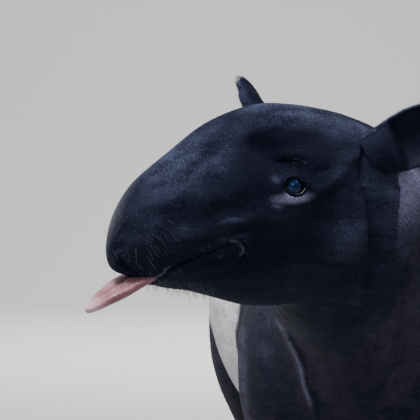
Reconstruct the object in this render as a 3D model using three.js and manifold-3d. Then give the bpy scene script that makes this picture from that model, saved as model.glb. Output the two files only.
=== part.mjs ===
// A malayan tapir standing still, at its life size, with its head turned to its right and its tongue out.
// Millimetres, +X towards the trunk's front, +Y to the animal's left, +Z up.
// The forms are worked out with X = 0 over the front legs, and the finished animal is then centred
// over the middle of its own box, with its soles at Z = 0.

import * as THREE from 'three';
import { mergeVertices } from 'three/addons/utils/BufferGeometryUtils.js';
import Module from 'manifold-3d';

const wasm = await Module();
wasm.setup();

// Driving dimensions

const GAP = 0.3;                 // between two nodes that meet face to face
const FAR = 3000;                // longer than the animal, for blocks that cut
const MERGE = 1e-4;              // points closer than this are one point
const WITHERS = 956;             // height over the shoulders
const CROUP = 992;               // height over the hips
const CHEST_FLOOR = 448;         // lowest point of the chest between the front legs
const BELLY = 424;               // lowest point of the belly
const GIRTH_HALF = 304;          // half the trunk's greatest width
const HEAD_LENGTH = 380;         // from between the ears to the tip of the nose
const HEAD_YAW = 55;             // degrees that the head is turned to the animal's right
const HEAD_ROLL = 11;            // degrees that the left side of the head hangs lower
const POLL = [500, -110, 1010];  // between the ears, where the head's own frame starts
const EYE_RADIUS = 19;
const EYE_AT = [147, 73, -13];   // the left eyeball's middle, in the head's frame
const EYE_LOOK = [0.2, 0.97, 0.1];
const LID_OPENING = [20, 15];    // half width and half height along the middle of the lids
const LID_ROUND = 5;
const LID_DEPTH = 12;            // from the eyeball's middle out to the lids
const EAR_LENGTH = 124;
const EAR_RIM = 5;               // width of the rim on each side of the ear's cup
const EAR_LIP = 4;               // how far the rim stands out in front of the ear's back
const SOLE_HEIGHT = 0;
const FETLOCK = 112;             // height where a foot begins
const CARPUS = 300;              // height of the front knee
const ELBOW = 505;               // height where a front leg leaves the chest
const HOCK = 335;                // height of the hind leg's back joint
const STIFLE = 560;              // height where a hind leg leaves the flank
const FRONT_TRACK = 142;         // from the middle plane to a front foot
const HIND_TRACK = 165;          // from the middle plane to a hind foot
const HIND_LINE = -812;          // X of the hind feet
const STRIDE = { front_left: 34, front_right: -26, hind_left: -40, hind_right: 30 };

// Colours and finishes

const BLACK_COAT = { color: 0x14141a, roughness: 0.82, metalness: 0 };
const PALE_COAT = { color: 0xb9b6b4, roughness: 0.85, metalness: 0 };
const HOOF_HORN = { color: 0x2b2622, roughness: 0.5, metalness: 0 };
const EYE_GLOSS = { color: 0x0a0c12, roughness: 0.08, metalness: 0 };
const TONGUE_SKIN = { color: 0x9c6f78, roughness: 0.45, metalness: 0 };

// Frames: a point given as (along, side, up) in a part's own axes, put into the animal's frame

const radians = THREE.MathUtils.degToRad;

function frameOf(origin, along, side, up) {
  const matrix = new THREE.Matrix4().makeBasis(along, side, up);
  matrix.setPosition(new THREE.Vector3(...origin));
  return matrix;
}

function leaned(origin, yaw, roll) {
  const turn = new THREE.Matrix4().makeRotationZ(radians(-yaw));
  turn.multiply(new THREE.Matrix4().makeRotationX(radians(-roll)));
  turn.setPosition(new THREE.Vector3(...origin));
  return turn;
}

const TRUNK = new THREE.Matrix4();
const HEAD = leaned(POLL, HEAD_YAW, HEAD_ROLL);
const X_AXIS = new THREE.Vector3(1, 0, 0);
const Y_AXIS = new THREE.Vector3(0, 1, 0);
const Z_AXIS = new THREE.Vector3(0, 0, 1);

function inHead(along, side, up) {
  return new THREE.Vector3(along, side, up).applyMatrix4(HEAD);
}

// Closed bodies: rings of points joined into a skin, with a pole at each end

function solidOf(geometry) {
  geometry.deleteAttribute('normal');
  geometry.deleteAttribute('uv');
  const merged = mergeVertices(geometry, MERGE);
  const triVerts = Uint32Array.from(merged.index.array);
  const vertProperties = Float32Array.from(merged.attributes.position.array);
  const solid = new wasm.Manifold(new wasm.Mesh({ numProp: 3, vertProperties, triVerts }));
  if (solid.volume() > 0) {
    return solid;
  }
  for (let i = 0; i < triVerts.length; i += 3) {
    [triVerts[i], triVerts[i + 1]] = [triVerts[i + 1], triVerts[i]];
  }
  return new wasm.Manifold(new wasm.Mesh({ numProp: 3, vertProperties, triVerts }));
}

function skinned(rings) {
  const sides = rings[0].length;
  const total = (ring) => ring.reduce((sum, p) => sum.add(p), new THREE.Vector3());
  const middle = (ring) => total(ring).divideScalar(sides);
  const points = [middle(rings[0]), ...rings.flat(), middle(rings.at(-1))];
  const last = points.length - 1;
  const index = [];
  const at = (ring, i) => 1 + ring * sides + (i % sides);
  for (let i = 0; i < sides; i++) {
    index.push(0, at(0, i + 1), at(0, i));
    index.push(last, at(rings.length - 1, i), at(rings.length - 1, i + 1));
    for (let ring = 0; ring + 1 < rings.length; ring++) {
      index.push(at(ring, i), at(ring, i + 1), at(ring + 1, i + 1));
      index.push(at(ring, i), at(ring + 1, i + 1), at(ring + 1, i));
    }
  }
  const geometry = new THREE.BufferGeometry();
  const numbers = points.flatMap((p) => p.toArray());
  geometry.setAttribute('position', new THREE.Float32BufferAttribute(numbers, 3));
  geometry.setIndex(index);
  return solidOf(geometry);
}

// A Catmull-Rom blend of the stations' values, with the given number of steps in each interval
function blended(stations, steps) {
  const rows = [];
  const last = stations.length - 1;
  for (let i = 0; i < last; i++) {
    const before = stations[Math.max(i - 1, 0)];
    const after = stations[Math.min(i + 2, last)];
    const four = [before, stations[i], stations[i + 1], after];
    for (let step = 0; step < steps; step++) {
      rows.push(stations[i].map((value, k) => catmull(four.map((row) => row[k]), step / steps)));
    }
  }
  rows.push(stations[last]);
  return rows;
}

function catmull([before, from, to, after], t) {
  const slopeIn = (to - before) / 2;
  const slopeOut = (after - from) / 2;
  const t2 = t * t;
  const t3 = t2 * t;
  return (2 * t3 - 3 * t2 + 1) * from + (t3 - 2 * t2 + t) * slopeIn
    + (3 * t2 - 2 * t3) * to + (t3 - t2) * slopeOut;
}

// One station of a tube: [along, side, up, half width, height above, depth below, crown, keel].
// Crown and keel are the powers of the cosine: over 1 is a narrower ridge, under 1 a squarer one.
function tube(frame, stations, steps, sides, grow = 0) {
  const rings = blended(stations, steps).map(([along, side, up, half, above, below, crown, keel]) => {
    const ring = [];
    for (let i = 0; i < sides; i++) {
      const angle = (i / sides) * 2 * Math.PI;
      const power = Math.sin(angle) > 0 ? crown : keel;
      const across = (half + grow) * Math.sign(Math.cos(angle)) * Math.abs(Math.cos(angle)) ** power;
      const rise = Math.sin(angle) * (grow + (Math.sin(angle) > 0 ? above : below));
      ring.push(new THREE.Vector3(along, side + across, up + rise).applyMatrix4(frame));
    }
    return ring;
  });
  return skinned(rings);
}

const BEAD_END = 0.25;           // share of a bead's radius that is left at its ends

// A round bead along a smooth path, thinner towards its ends
function bead(points, radius, sides = 6) {
  const path = new THREE.CatmullRomCurve3(points);
  const steps = 2 * (points.length - 1);
  const rings = [];
  for (let step = 0; step <= steps; step++) {
    const t = step / steps;
    const along = path.getTangentAt(t);
    const across = Z_AXIS.clone().cross(along).normalize();
    const rise = along.clone().cross(across);
    const size = radius * Math.max(BEAD_END, Math.sin(Math.PI * (0.1 + 0.8 * t)));
    const middle = path.getPointAt(t);
    const ring = [];
    for (let i = 0; i < sides; i++) {
      const angle = (i / sides) * 2 * Math.PI;
      ring.push(middle.clone().addScaledVector(across, size * Math.cos(angle))
        .addScaledVector(rise, size * Math.sin(angle)));
    }
    rings.push(ring);
  }
  return skinned(rings);
}

// An ellipsoid, turned about its own side axis by some degrees
function ball(frame, middle, radii, turn = 0, rows = 8) {
  const geometry = new THREE.SphereGeometry(1, 2 * rows, rows);
  const place = new THREE.Matrix4().makeTranslation(...middle);
  place.multiply(new THREE.Matrix4().makeRotationY(radians(turn)));
  place.multiply(new THREE.Matrix4().makeScale(...radii));
  geometry.applyMatrix4(place.premultiply(frame));
  return solidOf(geometry);
}

function joined(solids) {
  return solids.reduce((whole, solid) => whole.add(solid));
}

function largest(solid) {
  const pieces = solid.decompose();
  return pieces.reduce((best, piece) => (piece.volume() > best.volume() ? piece : best));
}

// A block whose near face lies on a plane: everything on the side that the normal points to
function beyond(point, normal) {
  const geometry = new THREE.BoxGeometry(FAR, FAR, FAR);
  geometry.translate(0, 0, FAR / 2);
  const turn = new THREE.Quaternion().setFromUnitVectors(Z_AXIS, normal.clone().normalize());
  geometry.applyQuaternion(turn);
  geometry.translate(point.x, point.y, point.z);
  return solidOf(geometry);
}

// Cuts a solid in two on a plane and leaves the gap between the halves: [near side, far side]
function parted(solid, point, normal) {
  const unit = normal.clone().normalize();
  const nearer = point.clone().addScaledVector(unit, -GAP / 2);
  const further = point.clone().addScaledVector(unit, GAP / 2);
  return [solid.subtract(beyond(nearer, unit)), solid.intersect(beyond(further, unit))];
}

function block(low, high) {
  const size = high.map((value, k) => value - low[k]);
  const geometry = new THREE.BoxGeometry(...size);
  geometry.translate(...low.map((value, k) => value + size[k] / 2));
  return solidOf(geometry);
}

// A flat outline in the head's side view, carried through its whole width
function headPrism(outline, half = 160) {
  const shape = new THREE.Shape(outline.map(([along, up]) => new THREE.Vector2(along, up)));
  const geometry = new THREE.ExtrudeGeometry(shape, { depth: 2 * half, bevelEnabled: false });
  geometry.translate(0, 0, -half);
  const upright = new THREE.Matrix4().makeBasis(X_AXIS, Z_AXIS, Y_AXIS.clone().negate());
  geometry.applyMatrix4(upright.premultiply(HEAD));
  return solidOf(geometry);
}

// Trunk: one barrel from the breast to the rump

const trunkStations = [
  [252, 0, 640, 40, 50, 50, 1, 1],
  [215, 0, 640, 90, 120, 125, 1, 1],
  [120, 0, 690, 152, 205, 225, 1, 1],
  [0, 0, 690, 222, WITHERS - 690, 690 - CHEST_FLOOR, 1.1, 0.85],
  [-170, 0, 700, 252, WITHERS - 704, 692 - CHEST_FLOOR, 1.05, 0.95],
  [-360, 0, 738, 288, WITHERS - 742, 738 - BELLY, 1, 0.93],
  [-540, 0, 748, GIRTH_HALF, WITHERS - 734, 740 - BELLY, 0.95, 0.95],
  [-710, 0, 725, 290, CROUP - 725, 250, 0.95, 1.05],
  [-860, 0, 720, 258, CROUP - 724, 195, 0.95, 0.95],
  [-965, 0, 740, 204, 216, 165, 0.95, 1],
  [-1040, 0, 765, 128, 140, 110, 1, 1],
  [-1066, 0, 780, 60, 60, 50, 1, 1],
];

// Neck: from deep in the breast to the back of the skull, in a frame that points at the head

const NECK_FOOT = new THREE.Vector3(40, 0, 742);
const NECK_TOP = inHead(0, 0, -48);
const neckAlong = NECK_TOP.clone().sub(NECK_FOOT).normalize();
const neckSide = Z_AXIS.clone().cross(neckAlong).normalize();
const NECK = frameOf(NECK_FOOT.toArray(), neckAlong, neckSide, neckAlong.clone().cross(neckSide));
const NECK_LENGTH = NECK_TOP.distanceTo(NECK_FOOT);

const neckStations = [
  [-120, 0, -10, 150, 150, 160, 1, 1],
  [0, 0, 0, 186, 205, 240, 1.1, 1.1],
  [0.3 * NECK_LENGTH, 6, 8, 162, 190, 232, 1.15, 1.15],
  [0.6 * NECK_LENGTH, 8, 14, 152, 172, 206, 1, 1.1],
  [0.85 * NECK_LENGTH, 6, 6, 142, 158, 178, 0.9, 1],
  [NECK_LENGTH, 6, 0, 112, 130, 130, 1, 1],
  [NECK_LENGTH + 50, 0, 0, 50, 60, 60, 1, 1],
];

// Head: brow, cheeks, jaws and nose in one form, seen along its own length

const headStations = [
  [-95, 0, -50, 60, 70, 70, 1, 1],
  [-60, 0, -45, 98, 108, 125, 1, 1],
  [0, 0, -40, 106, 123, 152, 1.1, 0.9],
  [60, 0, -35, 101, 127, 163, 1.15, 0.85],
  [110, 0, -35, 96, 130, 167, 1.15, 0.85],
  [155, 0, -40, 86, 133, 160, 1.1, 0.9],
  [205, 0, -48, 71, 127, 140, 1.05, 0.95],
  [250, 0, -58, 58, 115, 119, 1, 1],
  [292, 0, -72, 50, 97, 99, 1, 1],
  [320, 0, -80, 46, 83, 82, 1, 1],
  [345, 0, -88, 41, 69, 64, 1, 1],
  [363, 0, -98, 34, 51, 51, 1, 1],
  [HEAD_LENGTH - 5, 0, -109, 20, 28, 31, 1, 1],
  [HEAD_LENGTH, 0, -113, 6, 9, 10, 1, 1],
];

// The head's side at a length and height: how far its skin is from the middle plane
function headHalf(along, up) {
  const rows = blended(headStations, 6);
  const next = rows.findIndex((row) => row[0] >= along);
  const share = (along - rows[next - 1][0]) / (rows[next][0] - rows[next - 1][0]);
  const [, , middle, half, above, below, crown, keel] = rows[next].map(
    (value, k) => rows[next - 1][k] + share * (value - rows[next - 1][k]));
  const rise = (up - middle) / (up > middle ? above : below);
  return half * Math.sqrt(Math.max(0, 1 - rise * rise)) ** (up > middle ? crown : keel);
}

// Legs: [height, outward, forward, half width, before, behind, square front, square back]

const frontLegStations = [
  [700, 132, 10, 92, 120, 120, 1, 1],
  [600, 144, 4, 94, 112, 112, 1, 1],
  [ELBOW, 148, -4, 76, 88, 96, 1, 1],
  [400, 146, 2, 60, 62, 66, 1, 1],
  [330, 144, 6, 49, 50, 52, 0.9, 0.9],
  [CARPUS, 143, 8, 48, 50, 48, 0.85, 0.9],
  [235, 142, 8, 40, 41, 42, 0.9, 0.9],
  [160, FRONT_TRACK, 12, 42, 42, 44, 0.9, 0.9],
  [FETLOCK, FRONT_TRACK, 16, 47, 47, 48, 0.9, 0.9],
  [60, FRONT_TRACK, 18, 50, 46, 52, 0.9, 0.9],
  [SOLE_HEIGHT, FRONT_TRACK, 14, 46, 40, 48, 0.9, 0.9],
];

const hindLegStations = [
  [800, 110, 20, 130, 150, 160, 1, 1],
  [700, 148, 26, 138, 172, 208, 1, 1],
  [600, 168, 30, 130, 172, 192, 1, 1],
  [520, 174, 24, 106, 156, 156, 1, 1],
  [460, 171, 0, 84, 122, 116, 1, 1],
  [400, 168, -30, 62, 86, 82, 1, 1],
  [HOCK, HIND_TRACK, -50, 46, 58, 62, 0.95, 0.95],
  [280, HIND_TRACK, -52, 41, 46, 50, 0.9, 0.95],
  [190, HIND_TRACK, -38, 38, 40, 42, 0.9, 0.9],
  [FETLOCK, HIND_TRACK, -14, 43, 45, 46, 0.9, 0.9],
  [60, HIND_TRACK, -2, 47, 44, 52, 0.9, 0.9],
  [SOLE_HEIGHT, HIND_TRACK, -4, 43, 38, 48, 0.9, 0.9],
];

// Toes: [forward, outward, half width, hoof height], from the inner toe to the outer one

const frontToes = [
  [43, -37, 19, 38],
  [66, 0, 23, 44],
  [43, 38, 19, 38],
  [0, 55, 14, 30],
];

const hindToes = [
  [28, -35, 18, 36],
  [49, 0, 22, 42],
  [28, 35, 18, 36],
];

const LEGS = [];
for (const [end, stations, line, track, toes] of [
  ['front', frontLegStations, 0, FRONT_TRACK, frontToes],
  ['hind', hindLegStations, HIND_LINE, HIND_TRACK, hindToes],
]) {
  for (const [side, hand] of [['left', 1], ['right', -1]]) {
    const name = `${end}_${side}`;
    const origin = [line + STRIDE[name], 0, 0];
    const frame = frameOf(origin, Z_AXIS, Y_AXIS.clone().multiplyScalar(hand), X_AXIS);
    LEGS.push({ name, end, hand, stations, frame, track, toes, line: origin[0] });
  }
}

const HOOF_SLOPE = 0.3;          // how far a hoof leans back for each millimetre of its height
const HOOF_SQUARE = [0.8, 0.9];  // powers of the hoof's front and back

function hoof({ frame, track }, [forward, outward, half, height], grow = 0) {
  const station = (share, width, front, back) => [
    share * height + (share > 0 ? grow : -grow), track + outward, forward - HOOF_SLOPE * share * height,
    width * half + grow, front * half + grow, back * half + grow, ...HOOF_SQUARE];
  return tube(frame, [
    station(0, 1, 1.15, 0.75),
    station(0.5, 0.98, 1.1, 0.7),
    station(1, 0.74, 0.72, 0.5),
  ], 1, 12);
}

function toeFlesh({ frame, track }, [forward, outward, half, height]) {
  const middle = [1.15 * height, track + 0.78 * outward, 0.66 * forward];
  return ball(frame, middle, [1.25 * height, 1.12 * half, 1.5 * half], 22, 5);
}

function legFlesh(limb, grow = 0) {
  const toes = limb.toes.map((toe) => toeFlesh(limb, toe));
  return joined([tube(limb.frame, limb.stations, 1, 16, grow), ...toes]);
}

// Masses that round the trunk over the legs' roots

const SHOULDER_RADII = [150, 126, 196];
const HIP_RADII = [190, 142, 215];

function bodyMasses() {
  const solids = [];
  for (const hand of [1, -1]) {
    solids.push(ball(TRUNK, [18, hand * 118, 672], SHOULDER_RADII, 8));
    solids.push(ball(TRUNK, [HIND_LINE + 30, hand * 150, 700], HIP_RADII, -8));
  }
  return solids;
}

function torsoFlesh(grow = 0) {
  return joined([
    tube(TRUNK, trunkStations, 2, 24, grow),
    tube(NECK, neckStations, 2, 20, grow),
    ...bodyMasses(),
  ]);
}

// Mouth: a slit through both sides, from under the nose back to the corner of the lips
// Points are along the head and up, in its side view

const mouthLine = [
  [338, -157],
  [326, -156],
  [313, -149],
  [306, -134],
  [282, -121],
  [246, -107],
  [214, -92],
];
const MOUTH_SLIT = 1.6;
const MOUTH_FRONT = [352, -176];
const JAW_BACK = [92, -262];
const JAW_FRONT = [360, -262];
const slitTop = mouthLine.map(([along, up]) => [along, up + MOUTH_SLIT / 2]);
const slitFloor = mouthLine.map(([along, up]) => [along - MOUTH_SLIT / 4, up - MOUTH_SLIT / 2]);
const frontFloor = [MOUTH_FRONT[0] - 2 * MOUTH_SLIT, MOUTH_FRONT[1] - MOUTH_SLIT];
const mouthSlit = headPrism([MOUTH_FRONT, ...slitTop, ...slitFloor.toReversed(), frontFloor]);

function jawRegion(gap) {
  return headPrism([...mouthLine, [JAW_BACK[0] + gap, JAW_BACK[1]], JAW_FRONT]);
}

const LIPS = [{ lift: 5, radius: 6 }, { lift: -5.5, radius: 5 }];
const LIP_INSET = 2.5;

function lipBeads() {
  const beads = [];
  for (const hand of [1, -1]) {
    for (const { lift, radius } of LIPS) {
      const path = mouthLine.map(([along, up]) => {
        const height = up + lift;
        return inHead(along, hand * (headHalf(along, height) - LIP_INSET), height);
      });
      beads.push(bead(path, radius));
    }
  }
  return beads;
}

// Eyes: an eyeball in its socket, behind two lids that are one rounded rim

const SIDES = [['left', 1], ['right', -1]];

function eyeFrame(hand) {
  const look = new THREE.Vector3(EYE_LOOK[0], hand * EYE_LOOK[1], EYE_LOOK[2]).normalize();
  const across = Z_AXIS.clone().cross(look).normalize();
  const place = [EYE_AT[0], hand * EYE_AT[1], EYE_AT[2]];
  return frameOf(place, across, look.clone().cross(across), look).premultiply(HEAD);
}

function eyeball(hand, grow = 0) {
  return ball(eyeFrame(hand), [0, 0, 0], Array(3).fill(EYE_RADIUS + grow), 0, 9);
}

const LID_SHARE = 0.3;           // the rim's thickness for each unit of the opening

function lids(hand) {
  const geometry = new THREE.TorusGeometry(1, LID_SHARE, 6, 16);
  geometry.scale(...LID_OPENING, LID_ROUND / LID_SHARE);
  geometry.translate(0, 0, LID_DEPTH);
  geometry.applyMatrix4(eyeFrame(hand));
  return solidOf(geometry);
}

// Nostrils: two slanting hollows in the tip of the nose

const NOSTRIL_AT = [362, 15, -132];
const NOSTRIL_RADII = [10, 5.5, 13];
const NOSTRIL_LEAN = 30;

function nostril(hand) {
  return ball(HEAD, [NOSTRIL_AT[0], hand * NOSTRIL_AT[1], NOSTRIL_AT[2]], NOSTRIL_RADII, NOSTRIL_LEAN, 5);
}

// Ears: a leaf bent into a cup, round at its tip, open on one side

const EARS = {
  left: { root: [-6, 84, 40], lean: [-0.7, 0.5, 0.52], open: [0.45, 0.88, 0.05] },
  right: { root: [68, -99, 13], lean: [0.1, -0.53, 0.83], open: [0.58, -0.6, -0.47] },
};

// [share of the length, half width, depth of the back, depth of the cup]
const earStations = [
  [-0.2, 32, 26, -16],
  [0.02, 36, 29, -18],
  [0.14, 39, 29, -12],
  [0.24, 41, 29, 13],
  [0.45, 43, 26, 18],
  [0.68, 37, 20, 13],
  [0.86, 25, 13, 7],
  [0.97, 11, 6.5, 2.6],
];

function ear({ root, lean, open }) {
  const along = new THREE.Vector3(...lean).normalize();
  const side = new THREE.Vector3(...open).cross(along).normalize();
  const frame = frameOf(root, along, side, along.clone().cross(side)).premultiply(HEAD);
  const arc = 6;
  const rings = blended(earStations, 2).map(([share, half, back, cup]) => {
    const place = (across, depth) =>
      new THREE.Vector3(share * EAR_LENGTH, across, depth).applyMatrix4(frame);
    const ring = [];
    for (let i = 0; i <= arc; i++) {
      const angle = (i / arc - 0.5) * Math.PI;
      ring.push(place(half * Math.sin(angle), -back * Math.cos(angle)));
    }
    for (let i = arc; i >= 0; i--) {
      const angle = (i / arc - 0.5) * Math.PI;
      ring.push(place((half - EAR_RIM) * Math.sin(angle), EAR_LIP - cup * Math.cos(angle)));
    }
    return ring;
  });
  return skinned(rings);
}

// Tongue: a flat leaf that comes out under the nose and hangs to the front

const tongueStations = [
  [0, 0, 0, 24, 7, 8, 1, 1],
  [30, 0, 0, 26, 8, 12, 1, 1],
  [60, 0, -3, 24, 8, 13, 0.9, 1],
  [88, 0, -6, 18, 7, 11, 0.9, 1],
  [108, 0, -10, 10, 5.5, 7, 1, 1],
  [117, 0, -12, 4, 3.5, 3.5, 1, 1],
];
const TONGUE_ROOT = [302, 0, -140];
const TONGUE_PITCH = 23;

function tongue(grow = 0) {
  const turn = new THREE.Matrix4().makeRotationY(radians(TONGUE_PITCH));
  turn.setPosition(new THREE.Vector3(...TONGUE_ROOT));
  return tube(turn.premultiply(HEAD), tongueStations, 2, 14, grow);
}

// Tail: a short stub that hangs behind the rump

const TAIL_LENGTH = 112;
const TAIL_DROP = new THREE.Vector3(-0.7, 0, -0.714).normalize();
const TAIL = frameOf([-1026, 0, 878], TAIL_DROP, Y_AXIS, TAIL_DROP.clone().cross(Y_AXIS));
const tailStations = [
  [-34, 0, 0, 30, 24, 24, 1, 1],
  [0, 0, 2, 28, 24, 22, 1, 1],
  [0.5 * TAIL_LENGTH, 0, 4, 22, 18, 16, 1, 1],
  [0.85 * TAIL_LENGTH, 0, 3, 15, 12, 11, 1, 1],
  [TAIL_LENGTH, 0, 1, 6, 5, 5, 1, 1],
];

// The animal: flesh first, whole, then parted where a person would name its pieces

const group = new THREE.Group();

function addNode(name, solid, finish) {
  const mesh = largest(solid).getMesh();
  const geometry = new THREE.BufferGeometry();
  geometry.setAttribute('position', new THREE.BufferAttribute(mesh.vertProperties, 3));
  geometry.setIndex(new THREE.BufferAttribute(mesh.triVerts, 1));
  const node = new THREE.Mesh(geometry, new THREE.MeshStandardMaterial(finish));
  node.name = name;
  group.add(node);
}

const headWhole = (grow) => tube(HEAD, headStations, 2, 24, grow);
const floorBlock = beyond(new THREE.Vector3(0, 0, SOLE_HEIGHT), Z_AXIS.clone().negate());

const limbs = LEGS.map((limb) => legFlesh(limb));
let flesh = joined([torsoFlesh(), headWhole(0), ...lipBeads(), ...limbs]);
flesh = flesh.subtract(floorBlock);
const grownFlesh = joined([torsoFlesh(GAP), headWhole(GAP)]);

for (const [side, hand] of SIDES) {
  flesh = flesh.add(lids(hand)).subtract(eyeball(hand, GAP)).subtract(nostril(hand));
  addNode(`eye_${side}`, eyeball(hand), EYE_GLOSS);
  addNode(`ear_${side}`, ear(EARS[side]).subtract(grownFlesh), BLACK_COAT);
}

// Legs leave the trunk on level cuts, inside a block round each leg's root. A block reaches from
// behind the leg to before it, and from near the middle plane outwards.
const LEG_CUTS = {
  front: { root: ELBOW, joint: CARPUS, behind: 150, before: 190, inner: 52 },
  hind: { root: STIFLE, joint: HOCK, behind: 215, before: 175, inner: 60 },
};

function legBlock(limb, gap) {
  const { root, behind, before, inner } = LEG_CUTS[limb.end];
  const sides = [inner - gap, FAR / 4];
  const [low, high] = limb.hand > 0 ? sides : [-sides[1], -sides[0]];
  return block([limb.line - behind - gap, low, -gap], [limb.line + before + gap, high, root + gap]);
}

for (const limb of LEGS) {
  const hooves = limb.toes.map((toe) => hoof(limb, toe, GAP));
  const piece = flesh.intersect(legBlock(limb, 0)).subtract(joined(hooves));
  flesh = flesh.subtract(legBlock(limb, GAP));
  const at = (height) => new THREE.Vector3(0, 0, height);
  const [below, upper] = parted(piece, at(LEG_CUTS[limb.end].joint), Z_AXIS);
  const [foot, lower] = parted(below, at(FETLOCK), Z_AXIS);
  addNode(`leg_${limb.name}_upper`, upper, BLACK_COAT);
  addNode(`leg_${limb.name}_lower`, lower, BLACK_COAT);
  addNode(`foot_${limb.name}`, foot, BLACK_COAT);
  limb.toes.forEach((toe, i) => addNode(`hoof_${limb.name}_${i + 1}`, hoof(limb, toe), HOOF_HORN));
}

// The trunk parts behind the shoulders, and the neck from the breast to behind the ears
const SADDLE_FRONT = -150;
const saddleLine = new THREE.Vector3(SADDLE_FRONT, 0, WITHERS);
const breastLine = new THREE.Vector3(150, 0, 760);
const breastwards = new THREE.Vector3(0.86, -0.12, 0.5);
const headBack = inHead(-34, 0, -30);
const headwards = inHead(1, 0, 0.12).sub(inHead(0, 0, 0));
const [trunk, front] = parted(flesh, breastLine, breastwards);
const [neck, head] = parted(front, headBack, headwards);
const [saddle, shoulders] = parted(trunk, saddleLine, X_AXIS);
addNode('torso_saddle', saddle, PALE_COAT);
addNode('torso_shoulders', shoulders, BLACK_COAT);
addNode('neck', neck, BLACK_COAT);

// The head parts into its skull, its nose with the upper lip, and its lower jaw
const mouthCut = head.subtract(mouthSlit).subtract(tongue(2 * GAP));
const jaw = mouthCut.intersect(jawRegion(GAP));
const upperHead = mouthCut.subtract(jawRegion(0));
const noseLine = inHead(252, 0, 0);
const nosewards = inHead(1, 0, -0.3).sub(inHead(0, 0, 0));
const [skull, proboscis] = parted(upperHead, noseLine, nosewards);
addNode('head', skull, BLACK_COAT);
addNode('proboscis', proboscis, BLACK_COAT);
addNode('lower_jaw', jaw, BLACK_COAT);
addNode('tongue', tongue(), TONGUE_SKIN);
addNode('tail', tube(TAIL, tailStations, 2, 12).subtract(grownFlesh), BLACK_COAT);

// The origin goes to the middle of the box, on the floor
const box = new THREE.Box3().setFromObject(group);
const middle = box.getCenter(new THREE.Vector3());
group.position.set(-middle.x, -middle.y, -box.min.z);
group.userData.shift = group.position.toArray();

export default group;
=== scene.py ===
# %% [markdown]
# # A Malayan tapir at life size, dressed over its measured frame
# The frame holds the animal as plain solids at their real size: where the trunk, neck, head, legs,
# ears, eyes, tongue and hooves are. This lesson puts the living surface over them: one seamless
# skin, short fur, lids, lips, whiskers and a wet tongue.
# Work on the animal is easiest in millimetres in its own axes, with X = 0 over the front legs,
# +X forward, +Y to its left and +Z up. A last step moves every point into the frame, in metres.

# %% Load the frame
import math

import bpy
import numpy as np
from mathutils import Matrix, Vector


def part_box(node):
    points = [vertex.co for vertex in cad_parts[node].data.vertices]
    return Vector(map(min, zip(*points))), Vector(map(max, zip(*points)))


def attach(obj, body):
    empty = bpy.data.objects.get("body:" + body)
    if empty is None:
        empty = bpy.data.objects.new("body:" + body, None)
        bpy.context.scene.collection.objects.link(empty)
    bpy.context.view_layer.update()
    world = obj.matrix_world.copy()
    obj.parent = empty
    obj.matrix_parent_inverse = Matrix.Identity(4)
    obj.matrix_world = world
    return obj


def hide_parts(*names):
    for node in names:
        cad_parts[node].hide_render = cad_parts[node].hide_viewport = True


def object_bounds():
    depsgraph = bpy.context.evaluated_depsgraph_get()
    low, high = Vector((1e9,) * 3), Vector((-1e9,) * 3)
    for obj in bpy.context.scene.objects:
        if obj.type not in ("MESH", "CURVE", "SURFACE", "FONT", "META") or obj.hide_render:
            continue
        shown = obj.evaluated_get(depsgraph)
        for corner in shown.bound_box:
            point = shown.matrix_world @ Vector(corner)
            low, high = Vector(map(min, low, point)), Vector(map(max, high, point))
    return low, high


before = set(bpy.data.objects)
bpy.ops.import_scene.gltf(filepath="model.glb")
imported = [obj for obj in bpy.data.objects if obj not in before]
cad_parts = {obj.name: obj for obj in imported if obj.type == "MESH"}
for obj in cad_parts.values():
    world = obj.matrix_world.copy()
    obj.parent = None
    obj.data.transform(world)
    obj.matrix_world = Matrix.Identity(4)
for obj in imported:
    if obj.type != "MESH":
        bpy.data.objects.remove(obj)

CAD_LOW, CAD_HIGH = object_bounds()
print("frame", [round(v, 3) for v in CAD_LOW], [round(v, 3) for v in CAD_HIGH])

# %% [markdown]
# ## Where the parts are
# A part has axes of its own: along it, to its left side, and up out of it. The head is turned
# 55 degrees to the animal's right and rolls 11 degrees, so that its left side hangs lower. With
# rows as axes, one matrix product puts a whole array of points in or out of a part's axes.

# %% Frames
MM = 0.001
POLL = np.array([500.0, -110.0, 1010.0])
HEAD_YAW = math.radians(55)
HEAD_ROLL = math.radians(11)
EYE_RADIUS = 19.0
EYE_AT = [147.0, 73.0, -13.0]


def unit(vector):
    """The vector divided by its own length."""
    vector = np.asarray(vector, float)
    return vector / np.linalg.norm(vector, axis=-1, keepdims=True)


def turned_axes(yaw, roll):
    """Rows along, side and up: the animal's own axes rolled about X, then turned right about Z."""
    along = [math.cos(yaw), -math.sin(yaw), 0]
    side = [math.sin(yaw) * math.cos(roll), math.cos(yaw) * math.cos(roll), -math.sin(roll)]
    up = [math.sin(yaw) * math.sin(roll), math.cos(yaw) * math.sin(roll), math.cos(roll)]
    return np.array([along, side, up])


def put(part, places):
    """Places in a part's axes become points of the animal: origin + place times the axes."""
    return part[0] + np.asarray(places, float) @ part[1]


def seen(part, points):
    """Points of the animal become places in a part's axes."""
    return (points - part[0]) @ part[1].T


HEAD = (POLL, turned_axes(HEAD_YAW, HEAD_ROLL))
TRUNK = (np.zeros(3), np.eye(3))


def in_head(origin, axes):
    """A frame that is given in the head's axes, as a frame of the animal."""
    return put(HEAD, origin), unit(axes) @ HEAD[1]


NECK_FOOT = np.array([40.0, 0.0, 742.0])
NECK_TOP = put(HEAD, [0, 0, -48])
NECK_LENGTH = np.linalg.norm(NECK_TOP - NECK_FOOT)
neck_along = unit(NECK_TOP - NECK_FOOT)
neck_side = unit(np.cross([0, 0, 1], neck_along))
NECK = (NECK_FOOT, np.array([neck_along, neck_side, np.cross(neck_along, neck_side)]))


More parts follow.
